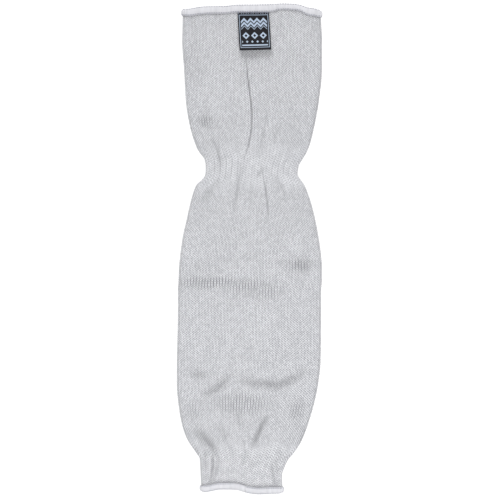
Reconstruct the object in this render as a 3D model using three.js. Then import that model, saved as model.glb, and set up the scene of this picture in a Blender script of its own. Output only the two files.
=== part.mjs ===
import * as THREE from 'three';

// A knitted cut-resistant sleeve for the forearm and upper arm, lying flat on its back layer.
// X runs across the sleeve, Y from the wrist end to the upper-arm end, and Z up.
// The origin is on the surface that it lies on, under its middle. All sizes are in millimetres.

// The knitted tube
const LENGTH = 457;        // end to end, over both edge bindings
const FLAT_WIDTH = 135.5;  // widest, lying flat
const WALL = 2;            // thickness of the knit
const HOLLOW = 11;         // room between the two layers, at its highest
const FOLD_RADIUS = 2.5;   // inside of the soft fold down each side
const CLEARANCE = 0.3;     // gap between one piece and the next

// The overlocked edge bindings, which wrap the cut edge of the knit at each end
const UPPER_BINDING_WIDTH = 5.9;
const WRIST_BINDING_WIDTH = 6.5;
const BINDING_SKIN = 0.9;  // thickness of the thread on each side of the knit
const BINDING_ROUND = 0.9; // rounding of its outer corners

// The woven label, whose upper edge is caught under the upper binding
const LABEL_WIDTH = 29.4;
const LABEL_HEIGHT = 33.9;
const LABEL_THICKNESS = 1;
const LABEL_OFFSET = 3.5;  // its upper edge's middle, to the right of the sleeve's middle
const LABEL_LEAN = 0.06;   // sideways run of its free end, as a share of the way down
const LABEL_GAP = 0.5;     // between the label and the knit below it
const LABEL_LIFT = 3.5;    // how much further its free lower edge stands off

// How far the back layer is lifted beside a binding, and how soon it is down again
const BINDING_LIFT = CLEARANCE + BINDING_SKIN;
const REST_RUN = 18;
const WAVE_RUN = 30;       // how far into the sleeve an edge's wave is felt
const LIP_MARGIN = 1;      // plain knit beside a binding's lip, before any fold begins
const RELIEF_RUN = 8;      // how soon the folds then reach their full depth

// Mesh steps round the outside of the tube. The inside has half as many.
const FOLD_STEPS = 8;
const FRONT_STEPS = 38;
const BACK_STEPS = 12;
const REST_STEPS = 3;      // mesh rows while the back layer comes down beside a binding
const LEAST_ROW = 3;       // nearest that the next row comes to them
const LABEL_STEPS = 8;     // each way over the label

// Sections of the tube from the wrist to the upper arm. along is a share of LENGTH, left and
// right are the edges as shares of half FLAT_WIDTH, hollow is a share of HOLLOW, and steps is
// the number of mesh rows up to the next section.
const SECTIONS = [
  { along: 0.000, left: 0.660, right: 0.455, hollow: 1.00, steps: 1 },
  { along: 0.036, left: 0.673, right: 0.449, hollow: 1.00, steps: 1 },
  { along: 0.056, left: 0.678, right: 0.489, hollow: 1.00, steps: 1 },
  { along: 0.071, left: 0.683, right: 0.541, hollow: 1.00, steps: 1 },
  { along: 0.083, left: 0.733, right: 0.611, hollow: 1.00, steps: 2 },
  { along: 0.109, left: 0.848, right: 0.719, hollow: 1.00, steps: 2 },
  { along: 0.140, left: 0.926, right: 0.801, hollow: 1.00, steps: 2 },
  { along: 0.181, left: 0.975, right: 0.883, hollow: 0.98, steps: 3 },
  { along: 0.221, left: 1.000, right: 0.941, hollow: 0.94, steps: 3 },
  { along: 0.272, left: 0.999, right: 0.979, hollow: 0.90, steps: 1 },
  { along: 0.354, left: 0.987, right: 0.985, hollow: 0.85, steps: 1 },
  { along: 0.415, left: 0.984, right: 0.986, hollow: 0.86, steps: 1 },
  { along: 0.436, left: 0.976, right: 0.998, hollow: 0.86, steps: 1 },
  { along: 0.466, left: 0.968, right: 0.997, hollow: 0.88, steps: 1 },
  { along: 0.497, left: 0.945, right: 0.977, hollow: 0.90, steps: 1 },
  { along: 0.528, left: 0.914, right: 0.947, hollow: 0.93, steps: 1 },
  { along: 0.558, left: 0.867, right: 0.908, hollow: 0.97, steps: 1 },
  { along: 0.599, left: 0.805, right: 0.837, hollow: 1.00, steps: 1 },
  { along: 0.624, left: 0.752, right: 0.776, hollow: 1.00, steps: 1 },
  { along: 0.632, left: 0.725, right: 0.751, hollow: 0.99, steps: 1 },
  { along: 0.641, left: 0.660, right: 0.708, hollow: 0.97, steps: 1 },
  { along: 0.652, left: 0.609, right: 0.662, hollow: 0.95, steps: 1 },
  { along: 0.668, left: 0.602, right: 0.676, hollow: 0.94, steps: 1 },
  { along: 0.683, left: 0.618, right: 0.730, hollow: 0.95, steps: 1 },
  { along: 0.695, left: 0.678, right: 0.779, hollow: 0.97, steps: 1 },
  { along: 0.709, left: 0.731, right: 0.820, hollow: 0.98, steps: 1 },
  { along: 0.750, left: 0.817, right: 0.891, hollow: 0.96, steps: 1 },
  { along: 0.803, left: 0.876, right: 0.955, hollow: 0.93, steps: 1 },
  { along: 0.864, left: 0.899, right: 0.996, hollow: 0.90, steps: 1 },
  { along: 0.925, left: 0.926, right: 0.998, hollow: 0.94, steps: 1 },
  { along: 1.000, left: 0.915, right: 0.978, hollow: 1.00, steps: 1 },
];

// The wave of each edge's front layer. across is a share of the half width, from -1 at the left
// fold to 1 at the right one, and in is how far the edge stays back, in widths of its binding.
const UPPER_WAVE = [
  { across: -1.00, in: 0.58 },
  { across: -0.92, in: 0.71 },
  { across: -0.84, in: 0.60 },
  { across: -0.75, in: 0.46 },
  { across: -0.62, in: 0.40 },
  { across: -0.40, in: 0.39 },
  { across: -0.22, in: 0.20 },
  { across: 0.10, in: 0.17 },
  { across: 0.30, in: 0.10 },
  { across: 0.47, in: 0.00 },
  { across: 0.62, in: 0.04 },
  { across: 0.72, in: 0.22 },
  { across: 0.82, in: 0.56 },
  { across: 0.90, in: 0.67 },
  { across: 1.00, in: 0.84 },
];
const WRIST_WAVE = [
  { across: -1.00, in: 0.22 },
  { across: -0.85, in: 0.31 },
  { across: -0.70, in: 0.50 },
  { across: -0.55, in: 0.67 },
  { across: -0.25, in: 0.70 },
  { across: -0.08, in: 0.60 },
  { across: 0.05, in: 0.36 },
  { across: 0.20, in: 0.16 },
  { across: 0.43, in: 0.00 },
  { across: 0.70, in: 0.04 },
  { across: 1.00, in: 0.02 },
];
// How much further back the middle of each hidden back edge stays, as a share of its binding's width
const UPPER_BACK_SHARE = 0.25;
const WRIST_BACK_SHARE = 0.75;

// The main folds and dents of the front layer. Each runs from one place to another, across the
// half width and along the length. bow is how far its middle strays to its left, as a share of
// FLAT_WIDTH, width is a share of FLAT_WIDTH, and depth and ridge, which is the swelling along
// its left side (or its right, if below 0), are in thicknesses of the knit.
const RIDGE_SHARE = 1.7;   // from a fold's middle to its swelling, as a share of the fold's width
const FOLDS = [
  { name: 'long crease', across: [-0.14, -0.11], along: [0.694, 0.892],
    bow: -0.044, width: 0.022, depth: 0.85, ridge: -0.5 },
  { name: 'right crease', across: [0.16, 0.24], along: [0.690, 0.783],
    bow: -0.008, width: 0.024, depth: 0.5, ridge: 0.2 },
  { name: 'left shoulder', across: [-0.72, -0.72], along: [0.660, 0.726],
    bow: -0.015, width: 0.024, depth: 0.55, ridge: -0.3 },
  { name: 'left dent', across: [-0.80, -0.66], along: [0.770, 0.752],
    bow: 0, width: 0.075, depth: 0.5, ridge: 0 },
  { name: 'left gather', across: [-0.28, -0.25], along: [0.572, 0.657],
    bow: 0, width: 0.028, depth: 0.75, ridge: 0.45 },
  { name: 'right gather', across: [0.275, 0.25], along: [0.560, 0.655],
    bow: -0.006, width: 0.028, depth: 0.75, ridge: -0.45 },
  { name: 'far right gather', across: [0.60, 0.51], along: [0.612, 0.645],
    bow: 0, width: 0.026, depth: 0.55, ridge: 0 },
  { name: 'slanting gather', across: [-0.85, -0.62], along: [0.586, 0.640],
    bow: 0, width: 0.040, depth: 0.6, ridge: -0.3 },
  { name: 'right elbow dent', across: [0.62, 0.86], along: [0.473, 0.462],
    bow: 0, width: 0.070, depth: 0.4, ridge: 0 },
  { name: 'smile fold', across: [-0.12, 0.84], along: [0.233, 0.258],
    bow: -0.078, width: 0.040, depth: 0.95, ridge: 0.4 },
  { name: 'slanting fold', across: [-0.62, -0.27], along: [0.204, 0.246],
    bow: 0, width: 0.045, depth: 0.7, ridge: 0.25 },
  { name: 'left wrist gather', across: [-0.60, -0.85], along: [0.078, 0.128],
    bow: 0, width: 0.032, depth: 0.75, ridge: 0.3 },
  { name: 'middle wrist gather', across: [-0.30, -0.38], along: [0.092, 0.138],
    bow: 0, width: 0.040, depth: 0.45, ridge: 0 },
  { name: 'right wrist gather', across: [0.13, 0.34], along: [0.092, 0.156],
    bow: 0, width: 0.028, depth: 0.85, ridge: 0.45 },
];

// The small upright ripples where elastic draws the knit in. along is the middle of the elastic
// and run how far the ripples reach past it, as shares of LENGTH, ripples is their number across
// the front, and depth is in thicknesses of the knit.
const GATHERS = [
  { along: 0.665, run: 0.055, ripples: 9, depth: 0.32 },
  { along: 0.040, run: 0.060, ripples: 8, depth: 0.28 },
];

const HALF_WIDTH = FLAT_WIDTH / 2;

// The inner lip of each binding and the cut edge of the knit inside it, as shares of the length
const WRIST_LIP = WRIST_BINDING_WIDTH / LENGTH;
const UPPER_LIP = 1 - UPPER_BINDING_WIDTH / LENGTH;
const WRIST_EDGE = BINDING_LIFT / LENGTH;
const UPPER_EDGE = 1 - BINDING_LIFT / LENGTH;

// A value from a table's column, on a smooth curve that never overshoots its rows.
function tableValue(table, by, column, at) {
  const last = table.length - 1;
  if (at <= table[0][by]) return table[0][column];
  if (at >= table[last][by]) return table[last][column];
  const slope = (k) => (table[k + 1][column] - table[k][column]) / (table[k + 1][by] - table[k][by]);
  const tangent = (k) => {
    if (k === 0 || k === last) return 0;
    const before = slope(k - 1);
    const after = slope(k);
    return before * after <= 0 ? 0 : (2 * before * after) / (before + after);
  };
  const k = table.findIndex((row, i) => i < last && at < table[i + 1][by]);
  const gap = table[k + 1][by] - table[k][by];
  const t = (at - table[k][by]) / gap;
  return table[k][column] * (1 + 2 * t) * (1 - t) ** 2
    + tangent(k) * gap * t * (1 - t) ** 2
    + table[k + 1][column] * t * t * (3 - 2 * t)
    + tangent(k + 1) * gap * t * t * (t - 1);
}

// How far a place is from the inner lip of the nearer binding, along the sleeve
function pastBinding(along) {
  return LENGTH * Math.min(along - WRIST_LIP, UPPER_LIP - along);
}

// The edges and heights of the tube at a share of its length, unchanging inside each binding
function sectionAt(along) {
  const at = THREE.MathUtils.clamp(along, WRIST_LIP, UPPER_LIP);
  const lifted = 1 - THREE.MathUtils.smoothstep(pastBinding(at), 0, REST_RUN);
  const base = BINDING_LIFT * lifted;
  return {
    left: -HALF_WIDTH * tableValue(SECTIONS, 'along', 'left', at),
    right: HALF_WIDTH * tableValue(SECTIONS, 'along', 'right', at),
    base,
    top: base + 2 * WALL + HOLLOW * tableValue(SECTIONS, 'along', 'hollow', at),
  };
}

// The shape of one layer's skin at a section, set in from the outside by inset: a flat back, a
// round fold on each side, and a low crown over the front that leaves the folds without a corner
function skinOf(section, inset) {
  const roll = WALL + FOLD_RADIUS - inset;
  const base = section.base + inset;
  const top = section.top - inset;
  const half = (section.right - section.left) / 2 - inset;
  const middle = (section.right + section.left) / 2;
  let lean = 0;
  let reach = half - roll;
  let shoulder = base + 2 * roll;
  for (let pass = 0; pass < 6; pass++) {
    lean = Math.atan((2 * (top - shoulder)) / reach);
    reach = half - roll + roll * Math.sin(lean);
    shoulder = base + roll + roll * Math.cos(lean);
  }
  return { roll, base, top, half, middle, lean, reach, shoulder };
}

// The height of a skin's plain crown at a share of its reach
function crownAt(skin, share) {
  return skin.shoulder + (skin.top - skin.shoulder) * (1 - share * share);
}

// How far one fold lifts a place, in thicknesses of the knit. The inner skin follows the valleys
// alone, no narrower than leastWidth, because its mesh is coarser.
function foldRelief(fold, x, along, leastWidth) {
  const ends = [0, 1].map((k) => {
    const section = sectionAt(fold.along[k]);
    const middle = (section.left + section.right) / 2;
    const half = (section.right - section.left) / 2;
    return new THREE.Vector2(middle + half * fold.across[k], fold.along[k] * LENGTH);
  });
  const run = ends[1].clone().sub(ends[0]);
  const from = new THREE.Vector2(x, along * LENGTH).sub(ends[0]);
  const share = from.dot(run) / run.lengthSq();
  if (share <= 0 || share >= 1) return 0;
  const aside = run.cross(from) / run.length() - fold.bow * FLAT_WIDTH * Math.sin(Math.PI * share);
  const width = Math.max(fold.width * FLAT_WIDTH, leastWidth);
  const ending = Math.sqrt(4 * share * (1 - share));
  const valley = fold.depth * Math.exp(-((aside / width) ** 2));
  if (leastWidth > 0) return -ending * valley;
  const ridgePlace = RIDGE_SHARE * width * Math.sign(fold.ridge);
  const ridge = Math.abs(fold.ridge) * Math.exp(-(((aside - ridgePlace) / width) ** 2));
  return ending * (ridge - valley);
}

// How far the front layer's skin stands above its plain crown, dying away at the side folds. The
// small ripples are left out of the inner skin.
function frontRelief(x, across, along, leastWidth) {
  let relief = 0;
  for (const fold of FOLDS) relief += foldRelief(fold, x, along, leastWidth);
  if (leastWidth === 0) {
    for (const gather of GATHERS) {
      const nearness = Math.exp(-(((along - gather.along) / gather.run) ** 2));
      relief += gather.depth * nearness * Math.cos(Math.PI * gather.ripples * across);
    }
  }
  const settled = THREE.MathUtils.smoothstep(pastBinding(along), LIP_MARGIN, LIP_MARGIN + RELIEF_RUN);
  return WALL * relief * settled * (1 - across ** 8);
}

// How far an end's edge stays back at a place across it, for the front or the hidden back
function edgeWave(wave, backShare, across, isFront) {
  if (isFront) return tableValue(wave, 'across', 'in', across);
  const ends = [wave[0].in, wave[wave.length - 1].in];
  return THREE.MathUtils.lerp(ends[0], ends[1], (across + 1) / 2) + backShare * (1 - across ** 2);
}

// Where a point of the tube lies along Y, with the waves of both edges
function lengthwise(along, across, isFront) {
  const wristFelt = 1 - THREE.MathUtils.smoothstep(LENGTH * (along - WRIST_LIP), 0, WAVE_RUN);
  const upperFelt = 1 - THREE.MathUtils.smoothstep(LENGTH * (UPPER_LIP - along), 0, WAVE_RUN);
  const wristIn = WRIST_BINDING_WIDTH * edgeWave(WRIST_WAVE, WRIST_BACK_SHARE, across, isFront);
  const upperIn = UPPER_BINDING_WIDTH * edgeWave(UPPER_WAVE, UPPER_BACK_SHARE, across, isFront);
  return (along - 0.5) * LENGTH + wristFelt * wristIn - upperFelt * upperIn;
}

// One closed ring of points round the tube: up the right fold, over the front, down the left fold
// and back along the flat back. Every step is kept, or with thin every second one. The place of
// each point along the sleeve comes from the outermost skin, so that both skins end together.
function ringAt(along, inset, thin) {
  const section = sectionAt(along);
  const skin = skinOf(section, inset);
  const outermost = skinOf(section, 0);
  const stride = thin ? 2 : 1;
  const narrowest = inset > 0 ? (4 * skin.reach) / FRONT_STEPS : 0;
  const ring = [];
  const put = (xOn, z, isFront) => {
    const across = THREE.MathUtils.clamp((xOn(outermost) - outermost.middle) / outermost.half, -1, 1);
    ring.push(new THREE.Vector3(xOn(skin), lengthwise(along, across, isFront), z));
  };
  const putFold = (side, step) => {
    const angleOn = (s) => -Math.PI / 2 + ((Math.PI - s.lean) * step) / FOLD_STEPS;
    const xOn = (s) => s.middle + side * (s.half - s.roll + s.roll * Math.cos(angleOn(s)));
    const angle = angleOn(skin);
    put(xOn, skin.base + skin.roll * (1 + Math.sin(angle)), angle > 0);
  };
  const putFront = (step) => {
    const share = 1 - (2 * step) / FRONT_STEPS;
    const xOn = (s) => s.middle + s.reach * share;
    put(xOn, crownAt(skin, share) + frontRelief(xOn(skin), share, along, narrowest), true);
  };
  const putBack = (step) => {
    const share = (2 * step) / BACK_STEPS - 1;
    put((s) => s.middle + (s.half - s.roll) * share, skin.base, false);
  };
  for (let step = 0; step < FOLD_STEPS; step += stride) putFold(1, step);
  for (let step = 0; step < FRONT_STEPS; step += stride) putFront(step);
  for (let step = FOLD_STEPS; step > 0; step -= stride) putFold(-1, step);
  for (let step = 0; step < BACK_STEPS; step += stride) putBack(step);
  return ring;
}

// The shares of the length at which the tube has mesh rows: both cut edges, a row just past each
// binding's lip, and the sections with their steps between
function tubeRows() {
  const margin = LIP_MARGIN / LENGTH;
  const between = [];
  for (let step = 1; step <= REST_STEPS; step++) {
    const lifted = (REST_RUN * step) / (REST_STEPS * LENGTH);
    between.push(WRIST_LIP + lifted, UPPER_LIP - lifted);
  }
  for (let k = 0; k < SECTIONS.length - 1; k++) {
    for (let step = 0; step < SECTIONS[k].steps; step++) {
      const share = step / SECTIONS[k].steps;
      const along = THREE.MathUtils.lerp(SECTIONS[k].along, SECTIONS[k + 1].along, share);
      if (pastBinding(along) > REST_RUN + LEAST_ROW) between.push(along);
    }
  }
  between.sort((one, other) => one - other);
  return [WRIST_EDGE, WRIST_LIP + margin, ...between, UPPER_LIP - margin, UPPER_EDGE];
}

// A closed mesh from corner points and triangles
function meshOf(name, points, triangles, material) {
  const geometry = new THREE.BufferGeometry().setFromPoints(points);
  geometry.setIndex(triangles);
  geometry.computeVertexNormals();
  const mesh = new THREE.Mesh(geometry, material);
  mesh.name = name;
  return mesh;
}

// The knitted tube: an outer skin, an inner skin with half the steps, and a rim at each cut edge
function knittedTube(material) {
  const rows = tubeRows();
  const points = [];
  const triangles = [];
  const outer = rows.map((along) => ringAt(along, 0, false));
  const inner = rows.map((along) => ringAt(along, WALL, true));
  const outerCount = outer[0].length;
  const innerCount = inner[0].length;
  points.push(...outer.flat(), ...inner.flat());
  const outerAt = (row, k) => row * outerCount + (k % outerCount);
  const innerAt = (row, k) => rows.length * outerCount + row * innerCount + (k % innerCount);
  for (let row = 0; row < rows.length - 1; row++) {
    for (let k = 0; k < outerCount; k++) {
      triangles.push(outerAt(row, k), outerAt(row + 1, k + 1), outerAt(row, k + 1));
      triangles.push(outerAt(row, k), outerAt(row + 1, k), outerAt(row + 1, k + 1));
    }
    for (let k = 0; k < innerCount; k++) {
      triangles.push(innerAt(row, k), innerAt(row, k + 1), innerAt(row + 1, k + 1));
      triangles.push(innerAt(row, k), innerAt(row + 1, k + 1), innerAt(row + 1, k));
    }
  }
  const rim = (row, facesWrist) => {
    const put = (a, b, c) => triangles.push(...(facesWrist ? [a, b, c] : [a, c, b]));
    for (let k = 0; k < innerCount; k++) {
      put(outerAt(row, 2 * k), outerAt(row, 2 * k + 1), innerAt(row, k));
      put(outerAt(row, 2 * k + 1), innerAt(row, k + 1), innerAt(row, k));
      put(outerAt(row, 2 * k + 1), outerAt(row, 2 * k + 2), innerAt(row, k + 1));
    }
  };
  rim(0, true);
  rim(rows.length - 1, false);
  return meshOf('knitted_tube', points, triangles, material);
}

// The outline of a binding cut across: a rounded band with a groove for the edge of the knit.
// out is measured from the knit's edge towards the sleeve's end, off from the middle of its wall.
function bindingOutline(width) {
  const groove = WALL / 2 + CLEARANCE;
  const skin = groove + BINDING_SKIN;
  const end = BINDING_LIFT;
  const lip = end - width;
  return [
    { out: CLEARANCE, off: -groove },
    { out: lip, off: -groove },
    { out: lip + BINDING_ROUND / 2, off: -skin },
    { out: end - BINDING_ROUND, off: -skin },
    { out: end, off: BINDING_ROUND - skin },
    { out: end, off: skin - BINDING_ROUND },
    { out: end - BINDING_ROUND, off: skin },
    { out: lip + BINDING_ROUND / 2, off: skin },
    { out: lip, off: groove },
    { out: CLEARANCE, off: groove },
  ];
}

// A binding: its outline carried once round the edge of the knit. towards is 1 at the upper-arm
// end and -1 at the wrist.
function edgeBinding(name, width, towards, material) {
  const edge = towards > 0 ? UPPER_EDGE : WRIST_EDGE;
  const outside = ringAt(edge, 0, false);
  const inside = ringAt(edge, WALL, false);
  const outline = bindingOutline(width);
  const points = [];
  const triangles = [];
  outside.forEach((point, k) => {
    const middle = point.clone().add(inside[k]).multiplyScalar(0.5);
    const away = point.clone().sub(inside[k]).setY(0).normalize();
    for (const corner of outline) {
      const placed = middle.clone().addScaledVector(away, corner.off);
      placed.y += towards * corner.out;
      points.push(placed);
    }
  });
  const at = (k, corner) => (k % outside.length) * outline.length + (corner % outline.length);
  for (let k = 0; k < outside.length; k++) {
    for (let corner = 0; corner < outline.length; corner++) {
      const quad = [at(k, corner), at(k + 1, corner), at(k + 1, corner + 1), at(k, corner + 1)];
      if (towards < 0) quad.reverse();
      triangles.push(quad[0], quad[1], quad[2], quad[0], quad[2], quad[3]);
    }
  }
  return meshOf(name, points, triangles, material);
}

// The height of the front layer's outer skin over a place on the sleeve, read between the two mesh
// rows that it lies between, so that what rests there follows the tube's own facets
function frontHeight(x, y) {
  const rows = tubeRows().map((along) => {
    const skin = skinOf(sectionAt(along), 0);
    const share = (x - skin.middle) / skin.reach;
    return {
      y: lengthwise(along, (x - skin.middle) / skin.half, true),
      z: crownAt(skin, share) + frontRelief(x, share, along, 0),
    };
  });
  const next = rows.findIndex((row) => row.y > y);
  const [before, after] = rows.slice(next - 1, next + 1);
  return THREE.MathUtils.lerp(before.z, after.z, (y - before.y) / (after.y - before.y));
}

// The woven label: a thin leaf over the front, whose upper edge follows the binding's lip
function wovenLabel(material) {
  const section = skinOf(sectionAt(UPPER_LIP), 0);
  const place = (across, lower, side) => {
    const run = LABEL_HEIGHT * lower;
    const atLip = LABEL_OFFSET + LABEL_WIDTH * across;
    const lip = lengthwise(1, (atLip - section.middle) / section.half, true) - UPPER_BINDING_WIDTH;
    const x = atLip + LABEL_LEAN * run;
    const y = lip - CLEARANCE - run + LABEL_LEAN * LABEL_WIDTH * across * lower;
    const lift = LABEL_GAP + LABEL_LIFT * lower ** 2;
    return new THREE.Vector3(x, y, frontHeight(x, y) + lift + LABEL_THICKNESS * side);
  };
  const points = [];
  for (const side of [0, 1]) {
    for (let down = 0; down <= LABEL_STEPS; down++) {
      for (let k = 0; k <= LABEL_STEPS; k++) {
        points.push(place(k / LABEL_STEPS - 0.5, down / LABEL_STEPS, side));
      }
    }
  }
  const triangles = [];
  const at = (side, down, k) => (side * (LABEL_STEPS + 1) + down) * (LABEL_STEPS + 1) + k;
  const quad = (a, b, c, d) => triangles.push(a, b, c, a, c, d);
  const last = LABEL_STEPS;
  for (let step = 0; step < last; step++) {
    for (let k = 0; k < last; k++) {
      quad(at(0, step, k), at(0, step, k + 1), at(0, step + 1, k + 1), at(0, step + 1, k));
      quad(at(1, step, k), at(1, step + 1, k), at(1, step + 1, k + 1), at(1, step, k + 1));
    }
    quad(at(0, 0, step + 1), at(0, 0, step), at(1, 0, step), at(1, 0, step + 1));
    quad(at(0, last, step), at(0, last, step + 1), at(1, last, step + 1), at(1, last, step));
    quad(at(0, step, 0), at(0, step + 1, 0), at(1, step + 1, 0), at(1, step, 0));
    quad(at(0, step + 1, last), at(0, step, last), at(1, step, last), at(1, step + 1, last));
  }
  return meshOf('woven_label', points, triangles, material);
}

const knit = new THREE.MeshStandardMaterial({ color: 0xcfd0d3, roughness: 0.95, metalness: 0 });
const thread = new THREE.MeshStandardMaterial({ color: 0xe6e6ea, roughness: 0.85, metalness: 0 });
const satin = new THREE.MeshStandardMaterial({ color: 0x2f2d31, roughness: 0.55, metalness: 0 });

const sleeve = new THREE.Group();
sleeve.add(
  knittedTube(knit),
  edgeBinding('upper_edge_binding', UPPER_BINDING_WIDTH, 1, thread),
  edgeBinding('wrist_edge_binding', WRIST_BINDING_WIDTH, -1, thread),
  wovenLabel(satin),
);

export default sleeve;
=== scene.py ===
# %% [markdown]
# # A cut resistant sleeve, knitted and laid flat
# The sleeve is one seamless tube of thick heather-grey knit, with a white overlocked edge at each
# end and a small woven label. It lies on a pale floor and is seen from straight above. The packed
# model holds a plain solid for each part, so each step below makes the real surface of one part
# in the space that its solid keeps for it.

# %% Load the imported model
import math

import bpy
import numpy as np
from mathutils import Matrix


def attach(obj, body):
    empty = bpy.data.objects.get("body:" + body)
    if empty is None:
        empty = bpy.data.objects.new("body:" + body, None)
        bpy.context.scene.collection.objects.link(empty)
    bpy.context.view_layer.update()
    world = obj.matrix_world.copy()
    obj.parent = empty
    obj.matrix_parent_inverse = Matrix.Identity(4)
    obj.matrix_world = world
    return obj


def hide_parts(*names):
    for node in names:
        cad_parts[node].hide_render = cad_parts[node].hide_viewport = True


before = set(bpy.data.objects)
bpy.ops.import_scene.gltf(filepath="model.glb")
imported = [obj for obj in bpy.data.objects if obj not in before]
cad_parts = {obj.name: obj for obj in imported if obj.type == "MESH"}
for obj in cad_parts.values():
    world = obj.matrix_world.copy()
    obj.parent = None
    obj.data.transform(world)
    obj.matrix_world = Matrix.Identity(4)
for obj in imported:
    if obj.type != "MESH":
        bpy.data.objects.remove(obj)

MM = 0.001
bpy.ops.object.select_all(action="DESELECT")
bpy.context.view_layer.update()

# %% [markdown]
# ## Sizes of the sleeve
# Everything is worked out in millimetres, as a pattern cutter would, and turned into metres only
# when a mesh is made. X runs across the sleeve, Y from the wrist to the upper arm, and Z up. The
# sizes are those of the solids, so that each surface lands where its solid is.

# %% Sizes in millimetres
LENGTH = 457.0
FLAT_WIDTH = 135.5
WALL = 2.0               # thickness of the knit
HOLLOW = 11.0            # room between the two layers, at its highest
FOLD_RADIUS = 2.5        # inside of the soft fold down each side
CLEARANCE = 0.3          # between one piece and the next
UPPER_BINDING_WIDTH = 5.9
WRIST_BINDING_WIDTH = 6.5
BINDING_SKIN = 0.9       # thread on each side of the knit
BINDING_LIFT = CLEARANCE + BINDING_SKIN
UPPER_SPREAD = 1.6       # how much further over the knit the upper winding reaches
REST_RUN = 18.0          # how soon the back layer is down again beside a binding
WAVE_RUN = 30.0          # how far into the sleeve an edge's wave is felt
LIP_MARGIN = 1.0         # of plain knit beside a binding, before the folds begin
RELIEF_RUN = 8.0         # how soon the folds have their whole depth there
HALF_WIDTH = FLAT_WIDTH / 2
WRIST_LIP = WRIST_BINDING_WIDTH / LENGTH
UPPER_LIP = 1 - UPPER_BINDING_WIDTH / LENGTH
WRIST_EDGE = BINDING_LIFT / LENGTH
UPPER_EDGE = 1 - BINDING_LIFT / LENGTH
print("knit from", WRIST_EDGE * LENGTH, "to", UPPER_EDGE * LENGTH, "mm")

# %% [markdown]
# ## The outline from end to end
# A flat sleeve is best described by sections, as a dressmaker marks a sleeve at each height. Each
# row gives a place along the sleeve, its left and right edges and how high the two layers stand
# apart there. A smooth curve that never overshoots its rows joins them. A drawn outline would do
# for a flat shape, but the sections also carry the height.

# %% Sections
SECTIONS = np.array([
    # along, left, right, hollow
    (0.000, 0.660, 0.455, 1.00),
    (0.036, 0.673, 0.449, 1.00),
    (0.056, 0.678, 0.489, 1.00),
    (0.071, 0.683, 0.541, 1.00),
    (0.083, 0.733, 0.611, 1.00),
    (0.109, 0.848, 0.719, 1.00),
    (0.140, 0.926, 0.801, 1.00),
    (0.181, 0.975, 0.883, 0.98),
    (0.221, 1.000, 0.941, 0.94),
    (0.272, 0.999, 0.979, 0.90),
    (0.354, 0.987, 0.985, 0.85),
    (0.415, 0.984, 0.986, 0.86),
    (0.436, 0.976, 0.998, 0.86),
    (0.466, 0.968, 0.997, 0.88),
    (0.497, 0.945, 0.977, 0.90),
    (0.528, 0.914, 0.947, 0.93),
    (0.558, 0.867, 0.908, 0.97),
    (0.599, 0.805, 0.837, 1.00),
    (0.624, 0.752, 0.776, 1.00),
    (0.632, 0.725, 0.751, 0.99),
    (0.641, 0.660, 0.708, 0.97),
    (0.652, 0.609, 0.662, 0.95),
    (0.668, 0.602, 0.676, 0.94),
    (0.683, 0.618, 0.730, 0.95),
    (0.695, 0.678, 0.779, 0.97),
    (0.709, 0.731, 0.820, 0.98),
    (0.750, 0.817, 0.891, 0.96),
    (0.803, 0.876, 0.955, 0.93),
    (0.864, 0.899, 0.996, 0.90),
    (0.925, 0.926, 0.998, 0.94),
    (1.000, 0.915, 0.978, 1.00),
])

# %% How each edge waves
UPPER_WAVE = np.array([
    # across, how far the edge stays back in widths of its binding
    (-1.00, 0.58), (-0.92, 0.71), (-0.84, 0.60), (-0.75, 0.46), (-0.62, 0.40),
    (-0.40, 0.39), (-0.22, 0.20), (0.10, 0.17), (0.30, 0.10), (0.47, 0.00),
    (0.62, 0.04), (0.72, 0.22), (0.82, 0.56), (0.90, 0.67), (1.00, 0.84),
])
WRIST_WAVE = np.array([
    (-1.00, 0.22), (-0.85, 0.31), (-0.70, 0.50), (-0.55, 0.67), (-0.25, 0.70),
    (-0.08, 0.60), (0.05, 0.36), (0.20, 0.16), (0.43, 0.00), (0.70, 0.04),
    (1.00, 0.02),
])
UPPER_BACK_SHARE = 0.25  # how much further in the hidden back's middle stays, in the same widths
WRIST_BACK_SHARE = 0.75


# %% A smooth curve through a table's rows
def on_curve(table, column, at):
    """A table's column at each place, on a smooth curve that never overshoots its rows."""
    by, value = table[:, 0], table[:, column]
    at = np.clip(at, by[0], by[-1])
    row = np.clip(np.searchsorted(by, at, side="right") - 1, 0, len(by) - 2)
    gap = np.diff(by)
    slope = np.diff(value) / gap
    before, after = slope[:-1], slope[1:]
    same_way = before * after > 0
    tangent = np.zeros(len(by))
    both = np.where(same_way, before + after, 1)
    tangent[1:-1] = np.where(same_way, 2 * before * after / both, 0)
    t = (at - by[row]) / gap[row]
    return (
        value[row] * (1 + 2 * t) * (1 - t) ** 2
        + tangent[row] * gap[row] * t * (1 - t) ** 2
        + value[row + 1] * t * t * (3 - 2 * t)
        + tangent[row + 1] * gap[row] * t * t * (t - 1)
    )


def ease(value, start, end):
    """0 before start, 1 after end, and smooth between them."""
    t = np.clip((value - start) / (end - start), 0, 1)
    return t * t * (3 - 2 * t)


widest = FLAT_WIDTH * max(on_curve(SECTIONS, 1, np.linspace(0, 1, 200))
                          + on_curve(SECTIONS, 2, np.linspace(0, 1, 200))) / 2
print("widest place, mm:", round(float(widest), 1))

# %% [markdown]
# ## One ring of the tube
# Cut across, the tube is a flat back, a soft round fold on each side and a low crown over the
# front. Knitting runs in columns, called wales, and every wale goes the whole length of the
# sleeve, so the points of a ring are spread evenly round it: then each column of the mesh is one
# wale, wide where the sleeve is wide and close together where elastic draws it in.

# %% The outline of a ring
def past_binding(along):
    """How far a place is from the inner lip of the nearer binding, along the sleeve."""
    return LENGTH * np.minimum(along - WRIST_LIP, UPPER_LIP - along)


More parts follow.
